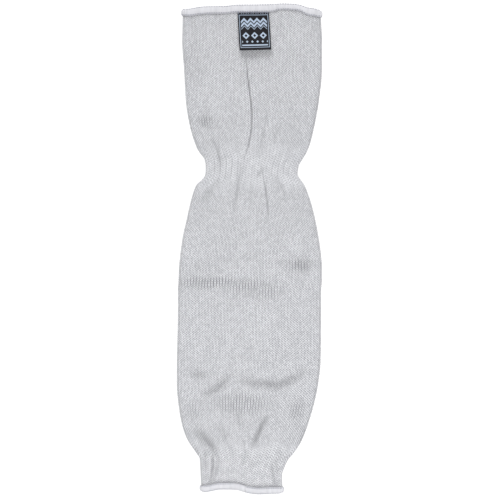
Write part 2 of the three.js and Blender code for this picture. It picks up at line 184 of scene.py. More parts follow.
def section_at(along, inset):
    """The edges, rounding and heights of one skin of the tube, set in from the outside."""
    at = np.clip(along, WRIST_LIP, UPPER_LIP)
    lifted = BINDING_LIFT * (1 - ease(past_binding(at), 0, REST_RUN))
    left = -HALF_WIDTH * on_curve(SECTIONS, 1, at)
    right = HALF_WIDTH * on_curve(SECTIONS, 2, at)
    roll = WALL + FOLD_RADIUS - inset
    base = lifted + inset
    top = lifted + 2 * WALL + HOLLOW * on_curve(SECTIONS, 3, at) - inset
    half = (right - left) / 2 - inset
    lean, reach, shoulder = 0 * at, half - roll, base + 2 * roll
    for _ in range(6):
        lean = np.arctan(2 * (top - shoulder) / reach)
        reach = half - roll + roll * np.sin(lean)
        shoulder = base + roll + roll * np.cos(lean)
    return {"roll": roll, "base": base, "top": top, "half": half, "middle": (left + right) / 2,
            "lean": lean, "reach": reach, "shoulder": shoulder}


def crown_height(skin, share):
    """The height of the plain crown at a share of the way across it, from -1 to 1."""
    return skin["shoulder"] + (skin["top"] - skin["shoulder"]) * (1 - share**2)


# %% Points round a ring
FRONT_PATH, FOLD_PATH, BACK_PATH = 90, 26, 60   # steps of the fine path that a ring is read from


def ring_points(along, inset, turns):
    """Points round the tube at each place along it, from the middle of the front to the right,
    over the back and home. Gives x, z, the share across the crown and whether it is in front."""
    skin = {name: np.atleast_1d(value)[:, None] for name, value in section_at(along, inset).items()
            if name != "roll"}
    roll = WALL + FOLD_RADIUS - inset
    flat = skin["half"] - roll
    right_front = np.linspace(0, 1, FRONT_PATH)[None, :]
    left_front = right_front - 1
    down = (math.pi / 2 - skin["lean"]) - (math.pi - skin["lean"]) * np.linspace(0, 1, FOLD_PATH)
    back = np.linspace(1, -1, BACK_PATH)[None, :]
    up = down[:, ::-1]
    one = np.ones_like(skin["half"])
    parts = [
        (skin["reach"] * right_front, crown_height(skin, right_front), one * right_front),
        (flat + roll * np.cos(down), skin["base"] + roll * (1 + np.sin(down)), one + 0 * down),
        (flat * back, skin["base"] + 0 * back, one * back),
        (-flat - roll * np.cos(up), skin["base"] + roll * (1 + np.sin(up)), -one + 0 * up),
        (skin["reach"] * left_front, crown_height(skin, left_front), one * left_front),
    ]
    x, z, share = (np.concatenate([part[k] for part in parts], axis=1) for k in range(3))
    length = np.hypot(np.diff(x, axis=1), np.diff(z, axis=1)).cumsum(axis=1)
    length = np.concatenate([0 * length[:, :1], length], axis=1)
    x_on, z_on, share_on = (
        np.array([np.interp(turns * run[-1], run, row) for run, row in zip(length, path)])
        for path in (x, z, share)
    )
    across = np.clip(x_on / skin["half"], -1, 1)
    in_front = z_on > skin["base"] + roll
    return x_on + skin["middle"], z_on, np.where(in_front, share_on, 1.0), across, in_front


# %% The waves of both ends
def edge_wave(wave, back_share, across, in_front):
    """How far an end's edge stays back, for the front or the hidden back."""
    ends = wave[0, 1] + (wave[-1, 1] - wave[0, 1]) * (across + 1) / 2
    return np.where(in_front, on_curve(wave, 1, across), ends + back_share * (1 - across**2))


def lengthwise(along, across, in_front):
    """Where a point of the tube lies along Y, with the waves of both edges."""
    wrist_felt = 1 - ease(LENGTH * (along - WRIST_LIP), 0, WAVE_RUN)
    upper_felt = 1 - ease(LENGTH * (UPPER_LIP - along), 0, WAVE_RUN)
    wrist_in = WRIST_BINDING_WIDTH * edge_wave(WRIST_WAVE, WRIST_BACK_SHARE, across, in_front)
    upper_in = UPPER_BINDING_WIDTH * edge_wave(UPPER_WAVE, UPPER_BACK_SHARE, across, in_front)
    return (along - 0.5) * LENGTH + wrist_felt * wrist_in - upper_felt * upper_in


waist = ring_points(np.array([0.655]), 0, np.linspace(0, 1, 9)[:-1])
print("eight points round the waist, mm:", np.round(waist[0][0], 1), np.round(waist[1][0], 1))

# %% [markdown]
# ## Folds, gathers and unevenness
# A thick knit doesn't crease like a shirt. It bends in a few soft valleys, with a swelling beside
# each, and elastic draws it into small upright ripples. Cloth simulation would put the folds in
# places of its own, so the ones of the real sleeve are listed instead: each is a path on
# the front, with a width, a depth and the height of its swelling. Two layers of seeded noise keep
# the plain parts from looking machined.

# %% The table of folds
FOLDS = [
    # path of (x, y) from the top down or from the left, width, depth, ridge, pull, all in mm, and
    # how much shade is painted into the crease. A ridge swells on the fold's right (or above one that
    # runs across), and below 0 on its left.
    ("long crease", [(-3.5, 182), (-1.8, 161), (1.2, 138), (2.3, 125), (1.8, 112), (-0.6, 97),
                     (-6.0, 81)], 2.0, 2.4, 0.4, 1.75, 2.1),
    ("right crease", [(17.3, 134), (14.8, 118), (11.7, 102), (11.3, 85)], 2.2, 0.7, -0.2, 0.8, 0.3),
    ("far right crease", [(26.2, 115), (22.6, 96)], 2.0, 0.45, 0.1, 0.4, 0.2),
    ("left shoulder", [(-37, 104), (-29.8, 93), (-28.5, 84), (-28, 73)], 2.4, 0.8, 0.2, 0.7, 0.5),
    ("left dent", [(-50, 122), (-43, 120), (-36, 116)], 7.0, 0.9, 0, 0, 0.35),
    ("left gather", [(-8.2, 82), (-8.9, 71), (-10.7, 59), (-11.9, 49), (-15.2, 32)],
     2.7, 1.5, -1.3, 1.0, 0.5),
    ("right gather", [(10.0, 80), (12.5, 68), (14.8, 58), (16, 48), (17.3, 35), (16.5, 24)],
     2.4, 1.6, 0.8, 1.25, 1.0),
    ("middle pucker", [(9.5, 73), (8.0, 66)], 2.0, 0.9, 0.2, 0.3, 0.6),
    ("far right gather", [(24, 70), (26.2, 63), (31, 55), (34, 48)], 2.6, 0.9, 0.1, 0.6, 0.4),
    ("right shoulder", [(39.0, 72), (42.0, 62)], 3.0, 0.8, 0, 0, 0.4),
    ("slanting gather", [(-27, 66), (-30.3, 62), (-39.6, 50), (-47, 41)], 4.5, 1.2, 0.3, 0.6, 0.4),
    ("small gather", [(-22.5, 70), (-24, 57)], 2.2, 0.5, 0, 0.3, 0.2),
    ("right elbow dent", [(42, -11), (50, -15), (58, -18)], 8.5, 0.8, 0, 0, 0.4),
    ("left elbow dent", [(-50, -11), (-47, -25)], 8.0, 0.5, 0, 0, 0.25),
    ("smile fold", [(-14, -122), (-4, -124), (4, -125.5), (14.5, -126.5), (24, -128),
                    (36, -124.5), (48, -118), (58, -111)], 4.6, 2.5, 0.6, 0, 0.75),
    ("slanting fold", [(-45, -137), (-38, -134), (-28.4, -129), (-18, -117)],
     4.4, 1.7, 0.4, 0, 0.75),
    ("left fold spot", [(-56, -119), (-48, -117), (-40, -120)], 4.5, 1.1, 0.2, 0, 0.7),
    ("left wrist gather", [(-52, -169), (-42.4, -177), (-35.9, -184), (-30.5, -194)],
     5.0, 2.3, 0.7, 0.8, 1.0),
    ("second wrist gather", [(-27, -164), (-19, -189)], 4.2, 0.9, 0.2, 0.3, 0.35),
    ("third wrist gather", [(-11, -150), (-8, -168)], 5.0, 0.5, 0, 0, 0.3),
    ("right wrist gather", [(17.5, -154), (10.7, -167), (6.1, -177), (1.5, -188)],
     3.3, 1.8, -0.9, 0.9, 0.95),
    ("middle cuff ripple", [(-4.6, -178), (-5.2, -204)], 1.9, 0.4, 0, 0.3, 0.4),
    ("right cuff ripple", [(24.5, -196), (27.0, -210), (31.0, -232)], 2.0, 1.0, 0.3, 0.5, 1.2),
    ("inner right ripple", [(20.5, -197), (22.5, -212), (26.5, -230)], 1.9, 0.7, 0, 0.4, 0.8),
    ("left cuff ripple", [(-41.5, -184), (-41.5, -204), (-44.5, -232)], 2.0, 1.0, 0.3, 0.5, 1.1),
    ("inner left ripple", [(-35.5, -184), (-34.0, -202), (-38.5, -232)], 1.9, 0.9, 0.3, 0.5, 1.0),
    ("low left ripple", [(-28.5, -186), (-30.0, -204), (-35.5, -230)], 1.9, 0.6, 0, 0.4, 0.6),
]
GATHERS = [
    # middle and run of the elastic as shares of the length, ripples across the front, depth in mm
    (0.665, 0.055, 9, 0.22),
    (0.668, 0.040, 15, 0.14),
    (0.040, 0.060, 8, 0.22),
]

# %% The shape of one fold
RIDGE_SHARE = 1.7        # from a fold's middle to its swelling, in widths of the fold
SHARP_PULL = 1.2         # how far a crease is pulled in before it closes to a line
SHARP_SHADE, SOFT_SHADE = 0.34, 0.85     # how wide a closed or an open crease looks, in widths


def fold_shape(x, y, path, width, depth, ridge, pull, shade):
    """How far one fold lifts each place, how far it draws the cloth in, and how it shades it."""
    points = np.array(path, dtype=float)
    runs = np.diff(points, axis=0)
    lengths = np.hypot(runs[:, 0], runs[:, 1])
    nearest = np.full(x.shape, 1e9)
    share = np.zeros(x.shape)
    aside_x, aside_y, side = np.zeros(x.shape), np.zeros(x.shape), np.zeros(x.shape)
    done = 0.0
    for start, run, length in zip(points[:-1], runs, lengths):
        from_x, from_y = x - start[0], y - start[1]
        t = np.clip((from_x * run[0] + from_y * run[1]) / length**2, 0, 1)
        off_x, off_y = from_x - t * run[0], from_y - t * run[1]
        distance = np.hypot(off_x, off_y)
        closer = distance < nearest
        nearest = np.where(closer, distance, nearest)
        aside_x, aside_y = np.where(closer, off_x, aside_x), np.where(closer, off_y, aside_y)
        side = np.where(closer, np.sign(run[0] * off_y - run[1] * off_x), side)
        share = np.where(closer, (done + t * length) / lengths.sum(), share)
        done += length
    ending = np.sqrt(np.clip(4 * share * (1 - share), 0, 1)) ** 1.4
    aside = nearest * side
    valley = depth * np.exp(-((aside / width) ** 2))
    place = RIDGE_SHARE * width * math.copysign(1, ridge)
    swelling = abs(ridge) * np.exp(-(((aside - place) / (1.3 * width)) ** 2))
    drawn = -pull / width * np.exp(-((aside / width) ** 2)) * ending
    in_shade = (SHARP_SHADE if pull > SHARP_PULL else SOFT_SHADE) * width
    crease = shade * ending * np.exp(-((aside / in_shade) ** 2))
    return ending * (swelling - valley), drawn * aside_x, drawn * aside_y, crease


dip, _, _, _ = fold_shape(np.array([2.3, 8.0]), np.array([125.0, 125.0]), *FOLDS[0][1:])
print("long crease at its middle and 6 mm beside it, mm:", np.round(dip, 2))

# %% Seeded unevenness, and the whole relief of the front
SEED = 7
SWELLS = [(0.45, 26, 1), (0.16, 8, 2)]   # height and size of the plain parts' bumps in mm, seed
PUCKER_RUN, PUCKER_HEIGHT = 7.0, 0.35    # of the small puckers beside a winding, in mm


def unevenness(x, y, cell, seed):
    """Smooth noise from -1 to 1 with bumps about a cell apart, the same on every run."""
    lattice = np.random.default_rng(SEED + seed).uniform(-1, 1, (64, 64))
    u, v = x / cell + 32, y / cell + 32
    column, row = np.floor(u).astype(int), np.floor(v).astype(int)
    s, t = ease(u - column, 0, 1), ease(v - row, 0, 1)
    at = [lattice[(row + j) % 64, (column + i) % 64] for j in (0, 1) for i in (0, 1)]
    return (at[0] * (1 - s) + at[1] * s) * (1 - t) + (at[2] * (1 - s) + at[3] * s) * t


def front_relief(x, share, along):
    """How far the front stands above its plain crown, how far it is drawn in along x and y, and
    how much shade is painted into its creases."""
    y = (along - 0.5) * LENGTH
    lift, drawn_x, drawn_y, crease = 0 * x, 0 * x, 0 * x, 0 * x
    for _, *fold in FOLDS:
        reach = 3.5 * fold[1]
        path = np.array(fold[0])
        low, high = path.min(axis=0) - reach, path.max(axis=0) + reach
        near = (x > low[0]) & (x < high[0]) & (y > low[1]) & (y < high[1])
        if near.any():
            up, in_x, in_y, dark = fold_shape(x[near], y[near], *fold)
            lift[near] += up
            drawn_x[near] += in_x
            drawn_y[near] += in_y
            crease[near] = np.maximum(crease[near], dark)
    for middle, run, ripples, depth in GATHERS:
        nearness = np.exp(-(((along - middle) / run) ** 2))
        wander = 0.5 * unevenness(x, y, 22, 11)
        lift += depth * nearness * np.cos(math.pi * ripples * share + wander)
    lift += sum(height * unevenness(x, y, cell, seed) for height, cell, seed in SWELLS)
    past = past_binding(along)
    pucker = np.exp(-((past / PUCKER_RUN) ** 2)) * unevenness(x, 0.4 * y, 4.5, 3)
    settled = ease(past, LIP_MARGIN, LIP_MARGIN + RELIEF_RUN)
    inside = 1 - np.abs(share) ** 8
    lift = (lift * settled + PUCKER_HEIGHT * pucker * ease(past, 0, 2)) * inside
    return lift, drawn_x * settled * inside, drawn_y * settled * inside, crease * inside


# %% [markdown]
# ## The knitted shell
# The shell is the tube's outer skin with two points for each wale and two for each row of
# stitches (a course), an inner skin with fewer points, and a rim that joins them at each end. The
# points of the outer skin rise over each wale and sink between them, so the ribs of the knit are
# real shape that shows along the edges, and each stitch tips a little with its course. The finer
# legs of the stitches are left to the material. The back lies on the floor, so there the ribs only
# sink inwards.

# %% Outer skin
WALES = 102
COURSES = 206
COLUMNS = 2 * WALES
ROWS = 2 * COURSES
RIB_DEPTH = 0.24         # of a wale, up and down
TIP_DEPTH = 0.11         # of a stitch, up and down

turns = np.arange(COLUMNS) / COLUMNS
along = WRIST_EDGE + (UPPER_EDGE - WRIST_EDGE) * np.linspace(0, 1, ROWS + 1)
ring_x, ring_z, share, across, in_front = ring_points(along, 0, turns)
along_grid = along[:, None] + 0 * ring_x
lift, drawn_x, drawn_y, crease = front_relief(ring_x, share, along_grid)
front_now = in_front.astype(float)
smooth = np.stack([
    ring_x + drawn_x * front_now,
    lengthwise(along_grid, across, in_front) + drawn_y * front_now,
    ring_z + lift * front_now,
], axis=-1)
sideways = np.roll(ring_x, -1, axis=1) - np.roll(ring_x, 1, axis=1)
upwards = np.roll(ring_z, -1, axis=1) - np.roll(ring_z, 1, axis=1)
size = np.hypot(sideways, upwards)
outward = np.stack([-upwards / size, 0 * size, sideways / size], axis=-1)
print("outward at the middle of the front:", np.round(outward[200, 0], 2))

# %% [markdown]
# ## What the knit's colour has to know
# Three things change how the stitches look from place to place. Creases are painted darker with
# shade, and so is a narrow band of the knit beside each winding. Where the knit is pulled sideways
# its columns stand apart and painted shade shows as dark lines between them. Where elastic is
# knitted in, three columns close up to one broad rib, and the knit there is made darker. Each is a
# number from 0 to about 1 at every point of the skin, and the material reads it from there. A
# painted mask would do the same, but numbers that follow the tables move along when a fold is moved.

# %% Where the columns of stitches stand apart
RIB_PATCHES = [
    # middle (x, y), half width, half height, all in mm, and how far the columns open there, showing
    # painted shade between them
    (-37, -31, 28, 5.5, 1.2), (-4, -34, 22, 7.0, 0.9), (12, -38, 20, 9.0, 0.8),
    (45, -15, 17, 6.0, 0.9), (-8, -144, 28, 10.0, 1.0), (44, -150, 8, 10.0, 0.8),
    (-52, 172, 10, 26.0, 0.3), (-40, 119, 8, 6.0, 0.9), (-52, -150, 8, 10.0, 0.6),
    (-23, 78, 16, 14.0, 0.4), (28, 76, 12, 12.0, 0.3),
]
apart = 0 * ring_x
for middle_x, middle_y, half_wide, half_high, strength in RIB_PATCHES:
    off = ((ring_x - middle_x) / half_wide) ** 2 + (
        ((along_grid - 0.5) * LENGTH - middle_y) / half_high) ** 2
    apart = np.maximum(apart, strength * np.exp(-off**1.5))
apart *= front_now
print("columns stand apart on", round(float((apart > 0.3).mean() * 100)), "% of the knit")

# %% Painted shade in the grooves beside the windings
GROOVE_RUN = 2.4         # how far the shade beside a winding reaches
UPPER_GROOVE_SHADE, WRIST_GROOVE_SHADE = 0.15, 0.8   # how dark it is


def lip_rise(x):
    """How much less of the knit the upper winding covers, to the right of the label."""
    return 1.7 * ease(x, 20, 28) * (1 - ease(x, 46, 54))


at_upper = along_grid > 0.5
past = past_binding(along_grid) - np.where(at_upper, UPPER_SPREAD - lip_rise(ring_x), 0)
groove = np.where(at_upper, UPPER_GROOVE_SHADE, WRIST_GROOVE_SHADE) * np.exp(-((past / GROOVE_RUN) ** 2))
groove = groove * (1 + 0.35 * unevenness(ring_x, ring_x, 5, 9))
# The crease value is painted shade, in the creases and in the grooves beside the windings.
crease = np.maximum(crease, groove) * front_now
print("darkest crease:", round(float(crease.max()), 2))

# %% Where elastic is knitted in
ELASTIC = [
    # from and to, as shares of the length, and how strongly it draws the columns together
    (-0.10, 0.098, 1.0), (0.634, 0.706, 0.6),
]
WALES_A_RIB = 3          # how many columns of stitches each rib of the elastic parts takes
ELASTIC_RIB = 0.09       # up and down, in mm
RAGGED, BLEND_RUN = 0.012, 0.018         # of the elastic's ends, as shares of the length
elastic = np.zeros(along_grid.shape)
for start, end, strength in ELASTIC:
    ragged = along_grid + RAGGED * unevenness(ring_x, ring_x, 9, 13)
    began = ease(ragged, start - BLEND_RUN, start + BLEND_RUN)
    ended = ease(ragged, end - BLEND_RUN, end + BLEND_RUN)
    elastic = np.maximum(elastic, strength * began * (1 - ended))
print("elastic in", round(float((elastic > 0.3).mean() * 100)), "% of the knit")

# %% Ribs and stitches on it
wale_side = np.where(np.arange(COLUMNS) % 2 == 0, 1.0, -1.0)[None, :]
course_side = np.where(np.arange(ROWS + 1) % 2 == 0, 1.0, -1.0)[:, None]
fade = ease(past_binding(along), 0, 2.5)[:, None]
broad = np.cos(np.arange(COLUMNS) * math.pi / WALES_A_RIB)[None, :] * elastic
crowding = np.clip(size / size[ROWS // 2].mean(), 0.55, 1)
rib = wale_side * ((1 + apart) * RIB_DEPTH + TIP_DEPTH * course_side) * crowding
rib = (rib * (1 - 0.6 * elastic) + ELASTIC_RIB * broad) * fade
on_floor = ease(-outward[..., 2], 0.2, 0.9)
rib = rib - on_floor * (RIB_DEPTH + TIP_DEPTH)
outer = smooth + outward * rib[..., None]
outer[..., 2] = np.maximum(outer[..., 2], 0.02)
print("outer skin:", outer.shape, "lowest z, mm:", round(float(outer[..., 2].min()), 3))

# %% Inner skin
INNER_COLUMNS = COLUMNS // 3
INNER_ROWS = 103
LOOK_ASIDE, LOOK_ALONG = (-3.0, 0.0, 3.0), (-2.5, 0.0, 2.5)     # for folds near a point, in mm
inner_rows = np.round(np.linspace(0, ROWS, INNER_ROWS + 1)).astype(int)
inner_turns = np.arange(INNER_COLUMNS) / INNER_COLUMNS
inner_along = along[inner_rows]
in_x, in_z, in_share, in_across, above = ring_points(inner_along, WALL, inner_turns)
inner_grid = inner_along[:, None] + 0 * in_x
lowest = np.zeros(in_x.shape)
for step_x in LOOK_ASIDE:
    for step_y in LOOK_ALONG:
        place = np.clip(inner_grid + step_y / LENGTH, 0, 1)
        lowest = np.minimum(lowest, front_relief(in_x + step_x, in_share, place)[0])
inner = np.stack([
    in_x,
    lengthwise(inner_grid, in_across, above),
    in_z + lowest * (above & (np.abs(in_share) < 1)),
], axis=-1)
print("inner skin:", inner.shape, "highest z, mm:", round(float(inner[..., 2].max()), 1))

# %% [markdown]
# ## Making the mesh
# The points go into one mesh with faces that point outwards. Two UV maps go with it. The first
# counts wales and courses, and the knit material reads it, so every stitch stays on its own wale
# however the sleeve bends. The second lays the skins out side by side for anyone who wants to
# paint or bake the piece.

# %% Helpers for meshes
def make_object(name, points, faces, uv_maps):
    """A smooth mesh object at the origin, from points in millimetres."""
    mesh = bpy.data.meshes.new(name)
    mesh.from_pydata((np.asarray(points) * MM).tolist(), [], [list(face) for face in faces])
    for uv_name, corners in uv_maps.items():
        layer = mesh.uv_layers.new(name=uv_name)
        layer.data.foreach_set("uv", np.asarray(corners, dtype=np.float32).ravel())
    mesh.polygons.foreach_set("use_smooth", [True] * len(mesh.polygons))
    mesh.update()
    made = bpy.data.objects.new(name, mesh)
    bpy.context.scene.collection.objects.link(made)
    return made


def grid_faces(rows, columns, first, flip):
    """Quads over a grid that closes round its columns, with each corner's row and column."""
    row, column = np.meshgrid(np.arange(rows), np.arange(columns), indexing="ij")
    row, column = row.ravel(), column.ravel()
    corners = [(row, column), (row, column + 1), (row + 1, column + 1), (row + 1, column)]
    if flip:
        corners.reverse()
    places = np.stack([np.stack(corner, axis=-1) for corner in corners], axis=1)
    faces = first + places[..., 0] * columns + places[..., 1] % columns
    return faces, places


def volume_inside(piece):
    """The volume inside a closed mesh, in cubic centimetres: below 0 if its faces point inwards."""
    mesh = piece.data
    mesh.calc_loop_triangles()
    points = np.empty(len(mesh.vertices) * 3)
    mesh.vertices.foreach_get("co", points)
    corners = np.empty(len(mesh.loop_triangles) * 3, dtype=int)
    mesh.loop_triangles.foreach_get("vertices", corners)
    a, b, c = points.reshape(-1, 3)[corners.reshape(-1, 3)].transpose(1, 0, 2)
    return float(np.einsum("ij,ij->i", a, np.cross(b, c)).sum() / 6e-6)


def report(piece):
    """Prints a finished piece's triangles and the volume inside it."""
    volume = volume_inside(piece)
    print(piece.name, len(piece.data.loop_triangles), "triangles,", round(volume, 2), "cubic cm")


# %% The two skins
inner_first = outer.shape[0] * COLUMNS
outer_faces, outer_places = grid_faces(ROWS, COLUMNS, 0, False)
inner_faces, inner_places = grid_faces(INNER_ROWS, INNER_COLUMNS, inner_first, True)
faces = outer_faces.tolist() + inner_faces.tolist()
inner_course = inner_rows[inner_places[..., 0]] / 2
stitch_uv = [
    (outer_places[..., ::-1] / 2).reshape(-1, 2),
    np.stack([inner_places[..., 1] * 1.5, inner_course], -1).reshape(-1, 2),
]
OUTER_SHARE, INNER_START = 0.76, 0.78    # of the second map's width
WRIST_RIM, UPPER_RIM, RIM_WIDTH = 0.762, 0.771, 0.006   # the strips between them
inner_turn = inner_places[..., 1] / INNER_COLUMNS
paint_uv = [
    np.stack([outer_places[..., 1] / COLUMNS * OUTER_SHARE, outer_places[..., 0] / ROWS],
             -1).reshape(-1, 2),
    np.stack([INNER_START + inner_turn * (1 - INNER_START), inner_places[..., 0] / INNER_ROWS],
             -1).reshape(-1, 2),
]

# %% The rims, and the shell
for row, inner_row, strip in ((0, 0, WRIST_RIM), (ROWS, INNER_ROWS, UPPER_RIM)):
    for k in range(INNER_COLUMNS):
        near = [(row * COLUMNS + (3 * k + step) % COLUMNS, 3 * k + step, 0) for step in range(4)]
        far = [(inner_first + inner_row * INNER_COLUMNS + (k + step) % INNER_COLUMNS,
                3 * (k + step), 1) for step in range(2)]
        for face in ([near[0], far[0], near[1]], [near[1], far[0], far[1], near[2]],
                     [near[2], far[1], near[3]]):
            face = face[::-1] if row else face
            faces.append([corner[0] for corner in face])
            stitch_uv.append([(corner[1] / 2, row / 2 + 0.4 * corner[2]) for corner in face])
            paint_uv.append([(strip + RIM_WIDTH * corner[2], corner[1] / COLUMNS)
                             for corner in face])

shell = make_object(
    "knitted_shell",
    np.concatenate([outer.reshape(-1, 3), inner.reshape(-1, 3)]),
    faces,
    {"stitches": np.concatenate(stitch_uv), "OFBake": np.concatenate(paint_uv)},
)
# The crease value carries painted shade into the knit's colour.
for attribute_name, values in (("crease", crease), ("apart", apart), ("elastic", elastic)):
    attribute = shell.data.attributes.new(attribute_name, "FLOAT", "POINT")
    filled = np.zeros(len(shell.data.vertices), dtype=np.float32)
    filled[:inner_first] = values.ravel()
    attribute.data.foreach_set("value", filled)
report(shell)
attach(shell, "root")
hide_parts("knitted_tube")

# %% [markdown]
# ## Helpers for materials
# Each finish is a small tree of nodes. Most of the nodes are plain arithmetic on a UV map, so one
# helper adds a Math node and links or sets its inputs. The others read a map or a point's value,
# mix and dim colours, give each stitch a random value of its own, and turn a height into a bump.

# %% Making a material, and its arithmetic
def new_material(name, roughness, sheen):
    """A material with a Principled shader, whose even values are set on its own sockets."""
    material = bpy.data.materials.new(name)
    material.use_nodes = True
    shader = material.node_tree.nodes["Principled BSDF"]
    shader.inputs["Roughness"].default_value = roughness
    shader.inputs["Sheen Weight"].default_value = sheen
    shader.inputs["Sheen Roughness"].default_value = 0.5
    shader.inputs["Specular IOR Level"].default_value = 0.25
    return material, material.node_tree, shader


def wire(tree, value, socket):
    """Links a value that is a socket, or sets one that is a number."""
    if isinstance(value, bpy.types.NodeSocket):
        tree.links.new(value, socket)
    else:
        socket.default_value = value


def maths(tree, operation, *values):
    """A Math node's result."""
    node = tree.nodes.new("ShaderNodeMath")
    node.operation = operation
    for value, socket in zip(values, node.inputs):
        wire(tree, value, socket)
    return node.outputs[0]


def away_from(tree, value, middle):
    """How far a value is from a middle."""
    return maths(tree, "ABSOLUTE", maths(tree, "SUBTRACT", value, middle))


def hump(tree, count):
    """A round hump from 0 to 1 and back, between each whole number and the next."""
    return maths(tree, "SINE", maths(tree, "MULTIPLY", maths(tree, "FRACT", count), math.pi))


def remap(tree, value, low, high, new_low, new_high, smooth=False):
    """A value moved from one range to another, and held inside it."""
    node = tree.nodes.new("ShaderNodeMapRange")
    node.interpolation_type = "SMOOTHSTEP" if smooth else "LINEAR"
    for k, each in enumerate((value, low, high, new_low, new_high)):
        wire(tree, each, node.inputs[k])
    return node.outputs[0]


# %% Colours
def blend(tree, share, first, second):
    """A colour between two others."""
    node = tree.nodes.new("ShaderNodeMix")
    node.data_type = "RGBA"
    wire(tree, share, node.inputs["Factor"])
    colours = [socket for socket in node.inputs if socket.type == "RGBA"]
    wire(tree, first, colours[0])
    wire(tree, second, colours[1])
    return next(socket for socket in node.outputs if socket.type == "RGBA")


def dimmed(tree, colour, share):
    """A colour with each of its parts scaled by a share."""
    node = tree.nodes.new("ShaderNodeVectorMath")
    node.operation = "SCALE"
    tree.links.new(colour, node.inputs[0])
    tree.links.new(share, node.inputs["Scale"])
    return node.outputs[0]


# %% Noise, maps and bumps
def noise(tree, vector, scale, detail=2.0):
    """A Noise texture's value, from 0 to 1."""
    node = tree.nodes.new("ShaderNodeTexNoise")
    node.inputs["Scale"].default_value = scale
    node.inputs["Detail"].default_value = detail
    tree.links.new(vector, node.inputs["Vector"])
    return node.outputs[0]


def axes_of(tree, vector):
    """The three numbers of a vector."""
    split = tree.nodes.new("ShaderNodeSeparateXYZ")
    tree.links.new(vector, split.inputs[0])
    return split.outputs


def uv_axes(tree, uv_name):
    """The two axes of a UV map."""
    source = tree.nodes.new("ShaderNodeUVMap")
    source.uv_map = uv_name
    return axes_of(tree, source.outputs[0])[:2]


def speckle(tree, x, y):
    """A random value for each whole pair of numbers, from 0 to 1."""
    join = tree.nodes.new("ShaderNodeCombineXYZ")
    wire(tree, x, join.inputs[0])
    wire(tree, y, join.inputs[1])
    node = tree.nodes.new("ShaderNodeTexWhiteNoise")
    node.noise_dimensions = "2D"
    tree.links.new(join.outputs[0], node.inputs["Vector"])
    return node.outputs["Value"]


def bumped(tree, shader, height, distance, strength):
    """Gives a shader a bump from a height of 0 to 1, distance metres high."""
    bump = tree.nodes.new("ShaderNodeBump")
    bump.inputs["Distance"].default_value = distance
    bump.inputs["Strength"].default_value = strength
    tree.links.new(height, bump.inputs["Height"])
    tree.links.new(bump.outputs[0], shader.inputs["Normal"])


def point_value(tree, name):
    """A value that each point of the mesh carries."""
    node = tree.nodes.new("ShaderNodeAttribute")
    node.attribute_name = name
    return node.outputs["Fac"]


def object_place(tree):
    """Object coordinates, in metres."""
    return tree.nodes.new("ShaderNodeTexCoord").outputs["Object"]


# %% [markdown]
# ## The heather knit
# Plain knitting shows a V for each stitch: two legs of yarn that slant up and out from the middle
# of the wale, with a gap below each that is painted dark as shade. The yarn is a blend of white and
# grey fibres round a steel core, so no two legs are quite the same grey. The material counts wales
# and courses from the first UV map, works out how near each point is to the middle of a leg, and
# lets that drive both the colour and the bump. An image would do it too, but the count keeps the
# stitches sharp at any distance.

# %% Knit material
knit, tree, shader = new_material("heather_knit", roughness=0.95, sheen=0.25)
wale, course = uv_axes(tree, "stitches")
LEG_RISE = 1.05          # how many courses a leg climbs on its way out
RIB_RISE = 1.15          # the same for the broad columns of the elastic parts
LEG_TAPER, RIB_TAPER = 0.55, 0.3         # how much lower a leg's ends are than its middle


def stitch_pattern(columns, rise, tapering):
    """How near each place is to the middle of a leg, how far it is out from the middle of its
    column, and a random value for its leg. The middle of a column is at a whole number."""
    from_gap = away_from(tree, maths(tree, "FRACT", columns), 0.5)
    outwards = maths(tree, "MULTIPLY_ADD", from_gap, -2.0, 1.0)
    climb = maths(tree, "SUBTRACT", course, maths(tree, "MULTIPLY", outwards, rise))
    leg = maths(tree, "MULTIPLY", maths(tree, "POWER", hump(tree, climb), 0.7),
                maths(tree, "MULTIPLY_ADD", hump(tree, outwards), tapering, 1 - tapering))
    yarn = speckle(tree, maths(tree, "FLOOR", maths(tree, "MULTIPLY", columns, 2.0)),
                   maths(tree, "FLOOR", climb))
    return leg, outwards, yarn


def between(share, first, second):
    """A value between two others."""
    return maths(tree, "MULTIPLY_ADD", maths(tree, "SUBTRACT", second, first), share, first)


plain = stitch_pattern(wale, LEG_RISE, LEG_TAPER)
ribbed = stitch_pattern(maths(tree, "DIVIDE", wale, float(WALES_A_RIB)), RIB_RISE, RIB_TAPER)
in_elastic = point_value(tree, "elastic")
leg, outwards, yarn = (between(in_elastic, *pair) for pair in zip(plain, ribbed))
leg = between(in_elastic, leg, maths(tree, "MULTIPLY_ADD", leg, 0.62, 0.2))
place = object_place(tree)
cloud = noise(tree, place, 45.0, 3.0)
fuzz = noise(tree, place, 2600.0)

# %% Its colour and bump
LEG_RELIEF = 0.0006       # of the bump, in metres
# Painted shade: CREASE_SHADE darkens the knit in its creases and beside the windings.
CREASE_SHADE = 0.36       # how much darker a crease is
ELASTIC_SHADE = 0.14      # how much darker the knit is made where elastic is knitted in
LEG_LIT = (0.15, 0.80)    # the heights between which a leg comes out of the dark
GAP_RUN, GAP_DEPTH = (0.45, 0.95), 0.85  # where an open gap lies, out from a column's middle
CLOUDS, FIBRES = (0.965, 1.03), (-0.05, 0.05)    # how much the grey varies, wide and fine
# The first colour is painted shade, for the gaps below the legs.
GAP_SHADE, GREY, PALE = (0.17, 0.173, 0.186, 1), (0.56, 0.566, 0.596, 1), (0.785, 0.793, 0.823, 1)
yarn_colour = blend(tree, remap(tree, yarn, 0.0, 1.0, 0.15, 1.0), GREY, PALE)
lit = remap(tree, leg, *LEG_LIT, 0.0, 1.0, smooth=True)
